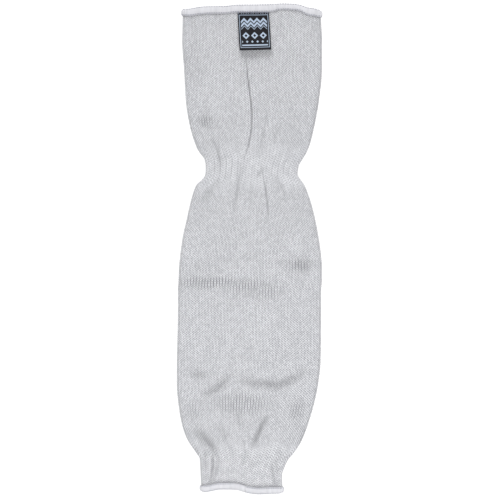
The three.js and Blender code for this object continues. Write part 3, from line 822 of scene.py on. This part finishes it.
# More painted shade shows in the gaps where the columns stand apart.
at_gap = remap(tree, outwards, *GAP_RUN, 0.0, GAP_DEPTH, smooth=True)
lit = maths(tree, "MULTIPLY", lit, maths(tree, "SUBTRACT", 1.0, maths(
    tree, "MULTIPLY", at_gap, point_value(tree, "apart"))))
stitched = blend(tree, lit, GAP_SHADE, yarn_colour)
wear_and_shade = maths(tree, "ADD", remap(tree, cloud, 0.25, 0.75, *CLOUDS),
             remap(tree, fuzz, 0.2, 0.8, *FIBRES))
# Painted shade of the creases and the grooves beside the windings darkens the colour here.
wear_and_shade = maths(tree, "MULTIPLY", wear_and_shade, maths(tree, "SUBTRACT", 1.0, maths(
    tree, "MULTIPLY", point_value(tree, "crease"), CREASE_SHADE)))
wear_and_shade = maths(tree, "MULTIPLY", wear_and_shade, maths(tree, "MULTIPLY_ADD", in_elastic, -ELASTIC_SHADE, 1.0))
tree.links.new(dimmed(tree, stitched, wear_and_shade), shader.inputs["Base Color"])
bumped(tree, shader, maths(tree, "MULTIPLY_ADD", fuzz, 0.25, leg), LEG_RELIEF, 0.7)
shell.data.materials.append(knit)
print("knit material:", len(tree.nodes), "nodes")

# %% [markdown]
# ## The overlocked edges
# The knit's cut edges are wrapped in close loops of white thread, sewn by an overlock machine.
# The loops stand side by side like a rope wound round the edge. A curve with a round bevel would
# twist where the edge turns over at the sides, so the outline of the wrapping is carried round the
# edge point by point instead, four steps to each thread, and every thread is a ridge of its own.
# The outline has a groove that the knit goes into. Each thread leans a little, as real loops do.

# %% The outline of a binding and the run of an edge
THREAD_PITCH = 1.24
THREAD_RELIEF = 0.15     # of a thread, up and down
PAIR_OF_THREADS = (0.0, 0.72, 1.0, 0.72, 0.4, 0.8, 1.0, 0.72)    # how high two threads stand
CORNER = 2.6             # how far the winding's end draws back where it turns over at the sides
ROLL = 0.35              # how much rounder than the solid the front of a winding is
SIDE_ROLL = 0.5          # and how much further its sides stand out
UNEVEN = 0.12            # how much its thickness varies
THREADS_VARY = 0.15      # how much one thread's height differs from the next, as a share
DIP_AT, DIP_DEPTH, DIP_RUN = -58.5, 0.9, 3.0     # of the dip at the upper edge's left end


def binding_outline(width):
    """The outline, from the front lip over the round end to the back lip, and then the groove.
    Each point has its place past the knit's edge, its height off the middle of the wall, how
    far its threads stand out, and its place across the binding from 0 to 1."""
    groove = WALL / 2 + CLEARANCE
    skin = groove + BINDING_SKIN
    lip = BINDING_LIFT - width
    middle = BINDING_LIFT - skin
    front = [(lip, groove, 0), (lip + 0.1, groove + 0.35, 0.5), (lip + 0.7, skin - 0.3, 1),
             (lip + 1.9, skin + 0.1, 1), (middle, skin + 0.1, 1)]
    end = [(middle + skin * math.sin(turn), skin * math.cos(turn), 1)
           for turn in np.radians((32, 62, 90, 118, 148))]
    back = [(out, -off, relief) for out, off, relief in reversed(front)]
    over = front + end + back
    points = [(*point, k / (len(over) - 1)) for k, point in enumerate(over)]
    return points + [(CLEARANCE, -groove, 0, 1.0), (CLEARANCE, groove, 0, 0.0)]


def edge_frame(edge, turns):
    """Where the middle of the knit's wall is at an end of the tube, and which way is outwards."""
    turns = np.mod(turns, 1)
    here, after, before = (
        ring_points(np.array([edge]), WALL / 2, np.mod(turns + step, 1)) for step in (0, 2e-3, -2e-3)
    )
    step_x, step_z = after[0][0] - before[0][0], after[1][0] - before[1][0]
    size = np.hypot(step_x, step_z)
    y = lengthwise(np.array([[edge]]), here[3], here[4])[0]
    return here[0][0], y, here[1][0], -step_z / size, step_x / size


def edge_length(edge):
    """How far it is round an end of the tube."""
    x, _, z, _, _ = edge_frame(edge, np.linspace(0, 1, 400, endpoint=False))
    return np.hypot(x - np.roll(x, 1), z - np.roll(z, 1)).sum()


print("round the upper edge:", round(edge_length(UPPER_EDGE)),
      "mm, round the wrist edge:", round(edge_length(WRIST_EDGE)), "mm")


# %% How a winding draws back
def moved_out(edge, width, out, x, away_x, away_z):
    """How much further out than the solid's a thread lies: the winding draws back at the sides
    and in one dip of the upper edge, whose front lip is narrower at the right of the label."""
    upper = float(edge > 0.5)
    dip = DIP_DEPTH * upper * np.exp(-(((x - DIP_AT) / DIP_RUN) ** 2))
    drawn_back = CORNER * np.abs(away_x) ** 1.5 + dip
    across = (BINDING_LIFT - out) / width
    return (upper * lip_rise(x) * np.clip(away_z, 0, 1) * np.clip(across, 0, 1)
            - drawn_back * np.clip(0.6 - across, 0, 1))


# %% Winding the threads
def edge_binding(name, edge, width, lean, join):
    """A closed ring of threads. join(x, place) gives how much thicker the winding is, in mm."""
    towards = 1 if edge > 0.5 else -1
    threads = 2 * round(edge_length(edge) / THREAD_PITCH / 2)
    stations = 4 * threads
    outline = binding_outline(width)
    ridge = np.array(PAIR_OF_THREADS)[np.arange(stations) % len(PAIR_OF_THREADS)]
    own = 1 + THREADS_VARY * np.random.default_rng(SEED + threads).uniform(-1, 1, threads)
    ridge = ridge * np.repeat(own, 4)
    rings = []
    for out, off, relief, place in outline:
        turns = (np.arange(stations) / 4 + lean * place) / threads
        x, y, z, away_x, away_z = edge_frame(edge, turns)
        facing = np.clip(away_z, 0, 1) if off > 0 else 0 * away_z
        sunk = THREAD_RELIEF * relief * (1 - ridge)
        swollen = ROLL * math.sin(math.pi * min(place, 0.6) / 0.6) + UNEVEN * unevenness(x, x, 7, 5)
        grown = (join(x, place) + swollen) * relief * facing
        side_roll = SIDE_ROLL * away_x**2 if off > 0 else 0
        far = off - math.copysign(1, off) * sunk + grown + side_roll
        past = out - (sunk if place > 0.3 and place < 0.7 else 0)
        past = past + moved_out(edge, width, out, x, away_x, away_z)
        rings.append(np.stack([x + away_x * far, y + towards * past, z + away_z * far], -1))
    points = np.stack(rings, axis=1)
    points[..., 2] = np.maximum(points[..., 2], 0.02)
    count = len(outline)
    faces, places = grid_faces(stations, count, 0, towards > 0)
    faces = (places[..., 0] % stations) * count + places[..., 1] % count
    across = np.array([point[3] for point in outline] + [0.0])
    thread_uv = np.stack([places[..., 0] / 4, across[places[..., 1]]], -1)
    bake_uv = np.stack([places[..., 0] / stations, places[..., 1] / count], -1)
    made = make_object(name, points.reshape(-1, 3), faces.tolist(),
                       {"threads": thread_uv.reshape(-1, 2), "OFBake": bake_uv.reshape(-1, 2)})
    report(made)
    return made


# %% Where each winding starts and ends
SEAM_AT, SEAM_SLANT, SEAM_DEPTH = 19.0, 3.2, 0.5     # of the mark in the upper edge
THREAD_END_AT, THREAD_END_DEPTH = 62.9, 0.35         # of a thread's end further right
DOUBLED = 0.18           # how much thicker the winding is where its start is wound over
LAP_FROM, LAP_FULL, LAP_AT, LAP_SLANT = -24, -8, -3.6, 1.2       # of the lap at the wrist
LAP_HEIGHT, LAP_DENT = 0.9, 0.45


def upper_join(x, place):
    """The slanting mark where the winding of the upper edge starts and ends."""
    seam = SEAM_AT - SEAM_SLANT * np.clip(place / 0.45, 0, 1)
    end_thread = THREAD_END_DEPTH * np.exp(-(((x - THREAD_END_AT) / 0.45) ** 2))
    dent = SEAM_DEPTH * np.exp(-(((x - seam) / 0.5) ** 2))
    doubled = DOUBLED * ease(x, seam, seam + 1) * (1 - ease(x, seam + 6, seam + 12))
    return doubled - end_thread - dent


def wrist_join(x, place):
    """The lap at the wrist, where the end of the winding lies over its start."""
    tail = LAP_AT - LAP_SLANT * place
    lap = LAP_HEIGHT * ease(x, LAP_FROM, LAP_FULL) * (1 - ease(x, tail - 0.3, tail + 0.3))
    return lap - LAP_DENT * np.exp(-(((x - tail - 0.7) / 0.5) ** 2))


# %% The two windings
upper_binding = edge_binding("upper_edge_winding", UPPER_EDGE, UPPER_BINDING_WIDTH + UPPER_SPREAD,
                             0.8, upper_join)
wrist_binding = edge_binding("wrist_edge_winding", WRIST_EDGE, WRIST_BINDING_WIDTH, -0.9, wrist_join)
for piece, node in ((upper_binding, "upper_edge_binding"), (wrist_binding, "wrist_edge_binding")):
    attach(piece, "root")
    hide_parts(node)

# %% [markdown]
# ## The needle thread
# A second thread runs along the inner lip of each winding and holds its loops down, and a chain of
# it runs along the very end. Both show as rows of short grey stitches. One stitch is modelled as
# a ball that is pulled out to a capsule, and the rest are copies of it, each laid between two
# points of the edge.

# %% One stitch
STITCH_RADIUS, STITCH_PULL = 0.26, 1.1   # of its ball, and how far half of it is pulled, in mm
bpy.ops.object.select_all(action="DESELECT")
bpy.ops.mesh.primitive_uv_sphere_add(segments=8, ring_count=6, radius=STITCH_RADIUS,
                                     rotation=(0, math.pi / 2, 0))
bpy.ops.object.transform_apply(location=True, rotation=True, scale=True)
stitch = bpy.context.object
bpy.ops.object.mode_set(mode="EDIT")
bpy.ops.mesh.select_all(action="DESELECT")
bpy.ops.object.mode_set(mode="OBJECT")
for vertex in stitch.data.vertices:
    vertex.select = vertex.co.x > 0.01
bpy.ops.object.mode_set(mode="EDIT")
bpy.ops.transform.translate(value=(STITCH_PULL, 0, 0))
bpy.ops.object.mode_set(mode="OBJECT")
stitch_points = np.array([vertex.co for vertex in stitch.data.vertices])
stitch_faces = []
for face in stitch.data.polygons:
    around = list(face.vertices)
    lowest_corner = around.index(min(around))
    stitch_faces.append(around[lowest_corner:] + around[:lowest_corner])
stitch_faces.sort()      # because a new ball's faces come in another order on each run
bpy.data.objects.remove(stitch)
reach = np.ptp(stitch_points[:, 0])
stitch_points[:, 0] = (stitch_points[:, 0] - stitch_points[:, 0].min()) / reach
print("one stitch:", len(stitch_faces), "faces,", round(float(reach), 2), "mm long before it is laid")


# %% Laying the stitches
def lay_stitches(name, starts, ends, up):
    """One object of stitches, each from its start to its end, with its height along up."""
    points, faces = [], []
    for start, end, lift in zip(starts, ends, up):
        ahead = end - start
        side = np.cross(lift, ahead)
        side /= np.linalg.norm(side)
        lift = np.cross(ahead, side)
        lift /= np.linalg.norm(lift)
        first = len(points) * len(stitch_points)
        points.append(start + stitch_points[:, :1] * ahead + stitch_points[:, 1:2] * side
                      + stitch_points[:, 2:] * lift)
        faces += [[first + corner for corner in face] for face in stitch_faces]
    made = make_object(name, np.concatenate(points), faces, {})
    report(made)
    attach(made, "root")
    return made


def stitch_row(name, edge, width, out, off, pitch, length):
    """A row of stitches all the way round an edge, out past the knit and off its middle."""
    towards = 1 if edge > 0.5 else -1
    count = round(edge_length(edge) / pitch)
    ends = []
    for step in (0, length / pitch):
        x, y, z, away_x, away_z = edge_frame(edge, (np.arange(count) + step) / count)
        past = out + moved_out(edge, width, out, x, away_x, away_z)
        ends.append(np.stack([x + away_x * off, y + towards * past, z + away_z * off], -1))
    up = np.stack([away_x, 0 * away_x, away_z], -1)
    for end in ends:
        end[:, 2] = np.maximum(end[:, 2], 0.3)
    return lay_stitches(name, *ends, up)


# %% The four rows of stitches
AT_LIP = WALL / 2 + CLEARANCE + BINDING_SKIN + 0.3    # how far off the middle of the wall they lie
AT_END = WALL / 2 + CLEARANCE + 0.55
NEEDLE_ROW = {"pitch": 2.2, "length": 1.2}
CHAIN_ROW = {"pitch": 2.35, "length": 1.5}
FROM_LIP, FROM_END = 1.1, 0.42           # how far in from the winding's lip or end they lie
needle_rows, chain_rows = [], []
for end_name, edge, width in (("upper", UPPER_EDGE, UPPER_BINDING_WIDTH + UPPER_SPREAD),
                              ("wrist", WRIST_EDGE, WRIST_BINDING_WIDTH)):
    needle_rows.append(stitch_row(end_name + "_needle_stitches", edge, width,
                                  BINDING_LIFT - width + FROM_LIP, AT_LIP, **NEEDLE_ROW))
    chain_rows.append(stitch_row(end_name + "_edge_chain", edge, width,
                                 BINDING_LIFT - FROM_END, AT_END, **CHAIN_ROW))

# %% [markdown]
# ## Thread finish
# The thread is a bright white polyester with a trace of lilac, a little smoother than the knit.
# Each thread has its own tone, the dips between them get painted shade, and two lines of locked
# loops run along the lip and the end of the winding, where the thread crosses itself and looks
# greyer; painted shade darkens these lines too, most along the upper end.

# %% Thread material
thread, tree, shader = new_material("white_thread", roughness=0.7, sheen=0.3)
along_edge, across_edge = uv_axes(tree, "threads")
from_ridge = maths(tree, "MULTIPLY", away_from(tree, maths(tree, "FRACT", along_edge), 0.5), 2.0)
own_shade = speckle(tree, maths(tree, "FLOOR", along_edge), 0.0)
pair_shade = speckle(tree, maths(tree, "FLOOR", maths(tree, "MULTIPLY", along_edge, 0.5)), 7.0)
place = object_place(tree)
fuzz = noise(tree, place, 3500.0)
cloud = noise(tree, place, 90.0)
WHITE, SHADE, LOCKED_GREY_AND_SHADE = (0.60, 0.60, 0.63, 1), (0.40, 0.405, 0.44, 1), (0.27, 0.28, 0.325, 1)
# Painted shade in the dips between the threads.
dip = maths(tree, "MULTIPLY", remap(tree, from_ridge, 0.45, 1.0, 0.0, 1.0, smooth=True), 0.55)
body = blend(tree, dip, WHITE, SHADE)
# The lip and the end are greyer where loops lock, with painted shade there as well, most at the upper
# end.
at_lip = remap(tree, across_edge, 0.02, 0.25, 0.5, 0.0, smooth=True)
end_line_and_shade = remap(tree, away_from(tree, across_edge, 0.5), 0.0, 0.08, 1.0, 0.0, smooth=True)
end_line_and_shade = maths(tree, "MULTIPLY", end_line_and_shade,
               remap(tree, axes_of(tree, place)[1], -0.1, 0.1, 0.4, 1.0))
body = blend(tree, maths(tree, "MAXIMUM", at_lip, end_line_and_shade), body, LOCKED_GREY_AND_SHADE)
shade = maths(tree, "ADD", remap(tree, own_shade, 0.0, 1.0, 0.975, 1.02),
              remap(tree, pair_shade, 0.0, 1.0, -0.04, 0.04))
shade = maths(tree, "ADD", shade, remap(tree, cloud, 0.3, 0.7, -0.03, 0.03))
tree.links.new(dimmed(tree, body, shade), shader.inputs["Base Color"])
bumped(tree, shader, maths(tree, "SUBTRACT", fuzz, maths(tree, "MULTIPLY", from_ridge, 0.8)),
       0.00025, 0.6)
for piece in (upper_binding, wrist_binding):
    piece.data.materials.append(thread)

# %% Needle thread material
needle, tree, shader = new_material("needle_thread", roughness=0.6, sheen=0.2)
place = object_place(tree)
NEEDLE_DARK, NEEDLE_PALE = (0.13, 0.14, 0.19, 1), (0.32, 0.33, 0.38, 1)
grey = blend(tree, remap(tree, noise(tree, place, 160.0), 0.35, 0.65, 0.0, 1.0),
             NEEDLE_DARK, NEEDLE_PALE)
tree.links.new(grey, shader.inputs["Base Color"])
bumped(tree, shader, noise(tree, place, 5000.0), 0.0001, 0.5)
for piece in needle_rows + chain_rows:
    piece.data.materials.append(needle)

# %% [markdown]
# ## The woven label
# The label is a small piece of satin ribbon, caught under the upper winding and free below, so its
# lower edge stands off the knit and throws a soft shadow. It starts as a flat grid of its real
# size. Each point is then dropped onto the knit below it and lifted again by what the curl of the
# ribbon adds, and the Solidify modifier gives it its thickness.

# %% The height of the front
LABEL_WIDTH = 29.4
LABEL_HEIGHT = 34.8
LABEL_OFFSET = 3.5       # of its upper edge's middle, to the right of the sleeve's middle
LABEL_LEAN = 0.06        # how far it leans to the right for each mm down
LABEL_THICKNESS = 0.55
LABEL_GAP = 0.75         # between it and the plain surface of the knit
LABEL_LIFT = 4.0         # how far its free edge stands up
LABEL_TURN = 0.3         # how much of the lean its lower edge turns with
LABEL_STIFFNESS = 0.5    # how far its free end spans the folds below it
LABEL_RIPPLE = 0.35      # of its free end, up and down
LABEL_COLUMNS, LABEL_ROWS = 42, 48       # of its grid
SELVEDGE_STEP = 0.09     # how far the weft's turns stand out at its sides


def front_height(x, y):
    """The height of the front of the knit over each place."""
    along = y / LENGTH + 0.5
    there = np.ones(x.shape, dtype=bool)
    for _ in range(4):
        skin = section_at(along, 0)
        across = (x - skin["middle"]) / skin["half"]
        along = along - (lengthwise(along, across, there) - y) / LENGTH
    share = (x - skin["middle"]) / skin["reach"]
    return crown_height(skin, share) + front_relief(x, share, along)[0]


def on_label(u, v):
    """Where a place on the label lies, from 0 to 1 across and from 0 to 1 down it."""
    lip_skin = section_at(np.array([UPPER_LIP]), 0)
    at_lip = LABEL_OFFSET + LABEL_WIDTH * (u - 0.5)
    across = (at_lip - lip_skin["middle"]) / lip_skin["half"]
    lip = lengthwise(np.ones(u.shape), across, np.ones(u.shape, dtype=bool)) - (
        UPPER_BINDING_WIDTH + UPPER_SPREAD)
    run = LABEL_HEIGHT * v
    x = at_lip + LABEL_LEAN * run
    y = lip - CLEARANCE - run + LABEL_TURN * LABEL_LEAN * LABEL_WIDTH * (u - 0.5) * v
    ground = front_height(x, y)
    flat = ground.mean()
    ground = ground + (flat - ground) * LABEL_STIFFNESS * ease(v, 0.2, 1.0)
    curl = LABEL_LIFT * v**2 + LABEL_RIPPLE * np.sin(math.pi * (1.4 * u + 0.2)) * v
    return np.stack([x, y, ground + LABEL_GAP + curl], -1)


corners = on_label(np.array([0, 1, 0, 1.0]), np.array([0, 0, 1, 1.0]))
print("label's corners, mm:", np.round(corners, 1).tolist())

# %% Shaping the label
bpy.ops.object.select_all(action="DESELECT")
bpy.ops.mesh.primitive_grid_add(x_subdivisions=LABEL_COLUMNS, y_subdivisions=LABEL_ROWS, size=1)
label = bpy.context.object
label.name = label.data.name = "label_ribbon"
flat_points = np.array([vertex.co for vertex in label.data.vertices])
u, v = flat_points[:, 0] + 0.5, 0.5 - flat_points[:, 1]
shaped = on_label(u, v)
row = np.round(v * LABEL_ROWS).astype(int)
selvedge = np.where((u < 0.001) | (u > 0.999), SELVEDGE_STEP * np.where(row % 2, 1, -1), 0)
shaped[:, 0] += selvedge * np.where(u < 0.5, -1, 1)
for vertex, point in zip(label.data.vertices, shaped):
    vertex.co = point * MM
solidify = label.modifiers.new("thickness", "SOLIDIFY")
solidify.thickness = LABEL_THICKNESS * MM
solidify.offset = 1
bpy.ops.object.modifier_apply(modifier="thickness")
bpy.ops.object.shade_smooth_by_angle(angle=math.radians(50))
report(label)
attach(label, "root")
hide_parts("woven_label")

# %% [markdown]
# ## The weave of the label
# The ground is charcoal satin, with fine ribs of weft across it. The pattern is woven in pale
# blue-grey: a thin frame, bands of chevrons, two rows of diamonds and a line. All of it is
# arithmetic on the label's UV map in millimetres, which keeps the edges of the pattern crisp.

# %% The label's map in millimetres, and shapes on it
satin, tree, shader = new_material("label_satin", roughness=0.5, sheen=0.0)
shader.inputs["Specular IOR Level"].default_value = 0.08
u_map, v_map = uv_axes(tree, label.data.uv_layers[0].name)
right = maths(tree, "MULTIPLY", maths(tree, "SUBTRACT", u_map, 0.5), LABEL_WIDTH)
below = maths(tree, "MULTIPLY", maths(tree, "SUBTRACT", 1.0, v_map), LABEL_HEIGHT)
EDGE_SOFT = 0.12         # of the pattern's edges, in mm


def stripe(value, middle, half):
    """1 within half of the middle, and 0 outside."""
    off = away_from(tree, value, middle)
    return remap(tree, off, half - EDGE_SOFT, half + EDGE_SOFT, 1.0, 0.0, smooth=True)


def both(first, second):
    """Where two masks meet."""
    return maths(tree, "MULTIPLY", first, second)


def either(*masks):
    """Where any of the masks is."""
    result = masks[0]
    for mask in masks[1:]:
        result = maths(tree, "MAXIMUM", result, mask)
    return result


def wave(value, period, height):
    """A zigzag of a given period and height."""
    part = maths(tree, "FRACT", maths(tree, "DIVIDE", value, period))
    return maths(tree, "MULTIPLY", away_from(tree, part, 0.5), 2 * height)


def diamonds(middle, period, shift, size):
    """A row of diamonds across the label, size from their middles to their corners."""
    part = maths(tree, "FRACT", maths(tree, "DIVIDE", maths(tree, "ADD", right, shift), period))
    off = maths(tree, "MULTIPLY", away_from(tree, part, 0.5), period)
    return stripe(maths(tree, "ADD", off, away_from(tree, below, middle)), 0.0, size)


# %% Label pattern
INNER_HALF = 12.0        # half the width inside the frame
CHEVRONS = [(5.6, 1.15), (9.2, 1.15), (12.1, 0.35)]      # middle and half height of each band
CHEVRON_PERIOD, CHEVRON_HEIGHT = 6.0, 3.2
OPEN_ROW, OPEN_SIZE, OPENING = (21.2, 8.0, 4.0), 3.3, 1.5    # middle, period, shift; two sizes
SMALL_ROW, SMALL_SIZE = (26.9, 4.8, 0.0), 1.15
LINE_MIDDLE, LINE_HALF = 30.2, 0.6
FRAME_SIDE, FRAME_TOP, FRAME_FOOT, FRAME_HALF = 13.3, 2.0, 32.3, 0.22
SIDES_RUN, ENDS_RUN = (17.2, 15.4), (0.0, 13.4)  # middle and half length of the frame's lines
inner_width = stripe(right, 0.0, INNER_HALF)
zigzag = maths(tree, "SUBTRACT", below, wave(right, CHEVRON_PERIOD, CHEVRON_HEIGHT))
chevrons = both(inner_width, either(*(stripe(zigzag, *band) for band in CHEVRONS)))
open_diamonds = both(inner_width, maths(
    tree, "SUBTRACT", diamonds(*OPEN_ROW, OPEN_SIZE), diamonds(*OPEN_ROW, OPENING)))
small_diamonds = both(inner_width, diamonds(*SMALL_ROW, SMALL_SIZE))
low_line = both(inner_width, stripe(below, LINE_MIDDLE, LINE_HALF))
frame_line = either(
    both(stripe(maths(tree, "ABSOLUTE", right), FRAME_SIDE, FRAME_HALF),
         stripe(below, *SIDES_RUN)),
    both(maths(tree, "MAXIMUM", stripe(below, FRAME_TOP, FRAME_HALF),
               stripe(below, FRAME_FOOT, FRAME_HALF)),
         stripe(right, *ENDS_RUN)))
pattern = either(chevrons, open_diamonds, small_diamonds, low_line, frame_line)

# %% Label colours and ribs
WEFT_PITCH, WARP_PITCH = 0.42, 0.36      # mm from thread to thread
CHARCOAL, CHARCOAL_WORN = (0.006, 0.006, 0.007, 1), (0.020, 0.020, 0.024, 1)
BLUE_GREY, BLUE_WHITE = (0.25, 0.32, 0.42, 1), (0.45, 0.53, 0.64, 1)
weft_rib = hump(tree, maths(tree, "DIVIDE", below, WEFT_PITCH))
warp_rib = hump(tree, maths(tree, "DIVIDE", right, WARP_PITCH))
place = object_place(tree)
wear_and_shade = noise(tree, place, 120.0, 3.0)
ground = blend(tree, wear_and_shade, CHARCOAL, CHARCOAL_WORN)
pale = blend(tree, warp_rib, BLUE_GREY, BLUE_WHITE)
tree.links.new(blend(tree, pattern, ground, pale), shader.inputs["Base Color"])
ribs = maths(tree, "ADD", maths(tree, "MULTIPLY", weft_rib, 0.6),
             maths(tree, "MULTIPLY_ADD", pattern, 0.7, maths(tree, "MULTIPLY", warp_rib, 0.3)))
bumped(tree, shader, ribs, 0.00012, 0.6)
label.data.materials.append(satin)
print("label pattern:", len(tree.nodes), "nodes")

# %% [markdown]
# ## The stitches that hold the label
# A row of short blue-grey stitches crosses the label's upper edge, where the overlock machine
# caught it. They are copies of the same capsule, laid up and down instead of along.

# %% Label stitches
LABEL_STITCHES = 13
STITCHES_FROM = 0.035    # of the way down the label
STITCH_LEAN, STITCH_RUN, STITCH_RISE = 0.5, 2.1, 0.35    # of each stitch, in mm
STITCHES_LIFT = 0.05     # above the ribbon
BLUE_DARK, BLUE_PALE = (0.24, 0.28, 0.40, 1), (0.42, 0.46, 0.56, 1)
at = (np.arange(LABEL_STITCHES) + 0.5) / LABEL_STITCHES
starts = on_label(at, 0 * at + STITCHES_FROM)
starts[:, 2] += LABEL_THICKNESS + STITCHES_LIFT
ends = starts + np.stack([STITCH_LEAN * np.where(np.arange(LABEL_STITCHES) % 2, 1, -1),
                          0 * at + STITCH_RUN, 0 * at + STITCH_RISE], -1)
label_stitches = lay_stitches("label_stitches", starts, ends, np.tile([0, 0, 1.0], (len(at), 1)))
blue, tree, shader = new_material("blue_grey_thread", roughness=0.6, sheen=0.2)
place = object_place(tree)
tree.links.new(blend(tree, noise(tree, place, 400.0), BLUE_DARK, BLUE_PALE),
               shader.inputs["Base Color"])
bumped(tree, shader, noise(tree, place, 5000.0), 0.0001, 0.5)
label_stitches.data.materials.append(blue)

# %% [markdown]
# ## What is cloth
# The sleeve and its label are cloth. The sleeve's flat size is that of the tube slit open: twice
# its flat width, and the length between its wrapped edges. The windings and stitches belong to it.

# %% [markdown]
# ## Floor, light and camera
# The photograph is taken from straight above on a clean white ground with no shadow on it, as on a
# frosted panel that is lit from below. So the floor is pale and glows a little. A soft key light
# stands beyond the upper end, slightly to the left, and shades the folds and the label's free
# edge. A weak fill stands at the wrist end. A long lens keeps the view flat.

# %% Floor
FLOOR_GLOW = 0.8
FLOOR_DARK, FLOOR_PALE = (0.29, 0.29, 0.29, 1), (0.31, 0.31, 0.31, 1)
bpy.ops.object.select_all(action="DESELECT")
bpy.ops.mesh.primitive_plane_add(size=12)
floor = bpy.context.object
floor.name = "floor"
frosted, tree, shader = new_material("pale_floor", roughness=0.9, sheen=0.0)
grain = noise(tree, object_place(tree), 900.0)
tree.links.new(blend(tree, grain, FLOOR_DARK, FLOOR_PALE), shader.inputs["Base Color"])
shader.inputs["Emission Color"].default_value = (1.0, 1.0, 1.0, 1)
shader.inputs["Emission Strength"].default_value = FLOOR_GLOW
floor.data.materials.append(frosted)

# %% Light
KEY_POWER, FILL_POWER, AMBIENT = 138.0, 20.0, 0.55
for light_name, place, size, power in (
    ("key_light", (-0.5, 3.55, 2.4), 1.8, KEY_POWER),
    ("fill_light", (0.3, -1.1, 1.4), 0.8, FILL_POWER),
):
    bpy.ops.object.light_add(type="AREA", location=place)
    light = bpy.context.object
    light.name = light_name
    light.data.size = size
    light.data.energy = power
    light.rotation_euler = (-light.location).to_track_quat("-Z", "Y").to_euler()
world = bpy.data.worlds.new("studio")
world.use_nodes = True
sky = world.node_tree.nodes["Background"]
sky.inputs["Color"].default_value = (1.0, 1.0, 1.0, 1)
sky.inputs["Strength"].default_value = AMBIENT
bpy.context.scene.world = world
bpy.context.scene.view_settings.view_transform = "Standard"

# %% Camera
FRAME_WIDTH = 0.4663     # how much the picture shows from side to side, in metres
LENS, SENSOR = 250.0, 36.0
SLEEVE_LEVEL = 0.008     # the height at which the picture is that wide
CENTRE_X, CENTRE_Y = 0.00047, -0.00093   # of the picture
distance = FRAME_WIDTH * LENS / SENSOR
bpy.ops.object.camera_add(location=(CENTRE_X, CENTRE_Y, distance + SLEEVE_LEVEL),
                          rotation=(0, 0, 0))
camera = bpy.context.object
camera.name = "camera"
camera.data.lens = LENS
camera.data.sensor_width = SENSOR
camera.data.clip_end = 20
bpy.context.scene.camera = camera
print("camera", round(distance, 3), "m above the sleeve")
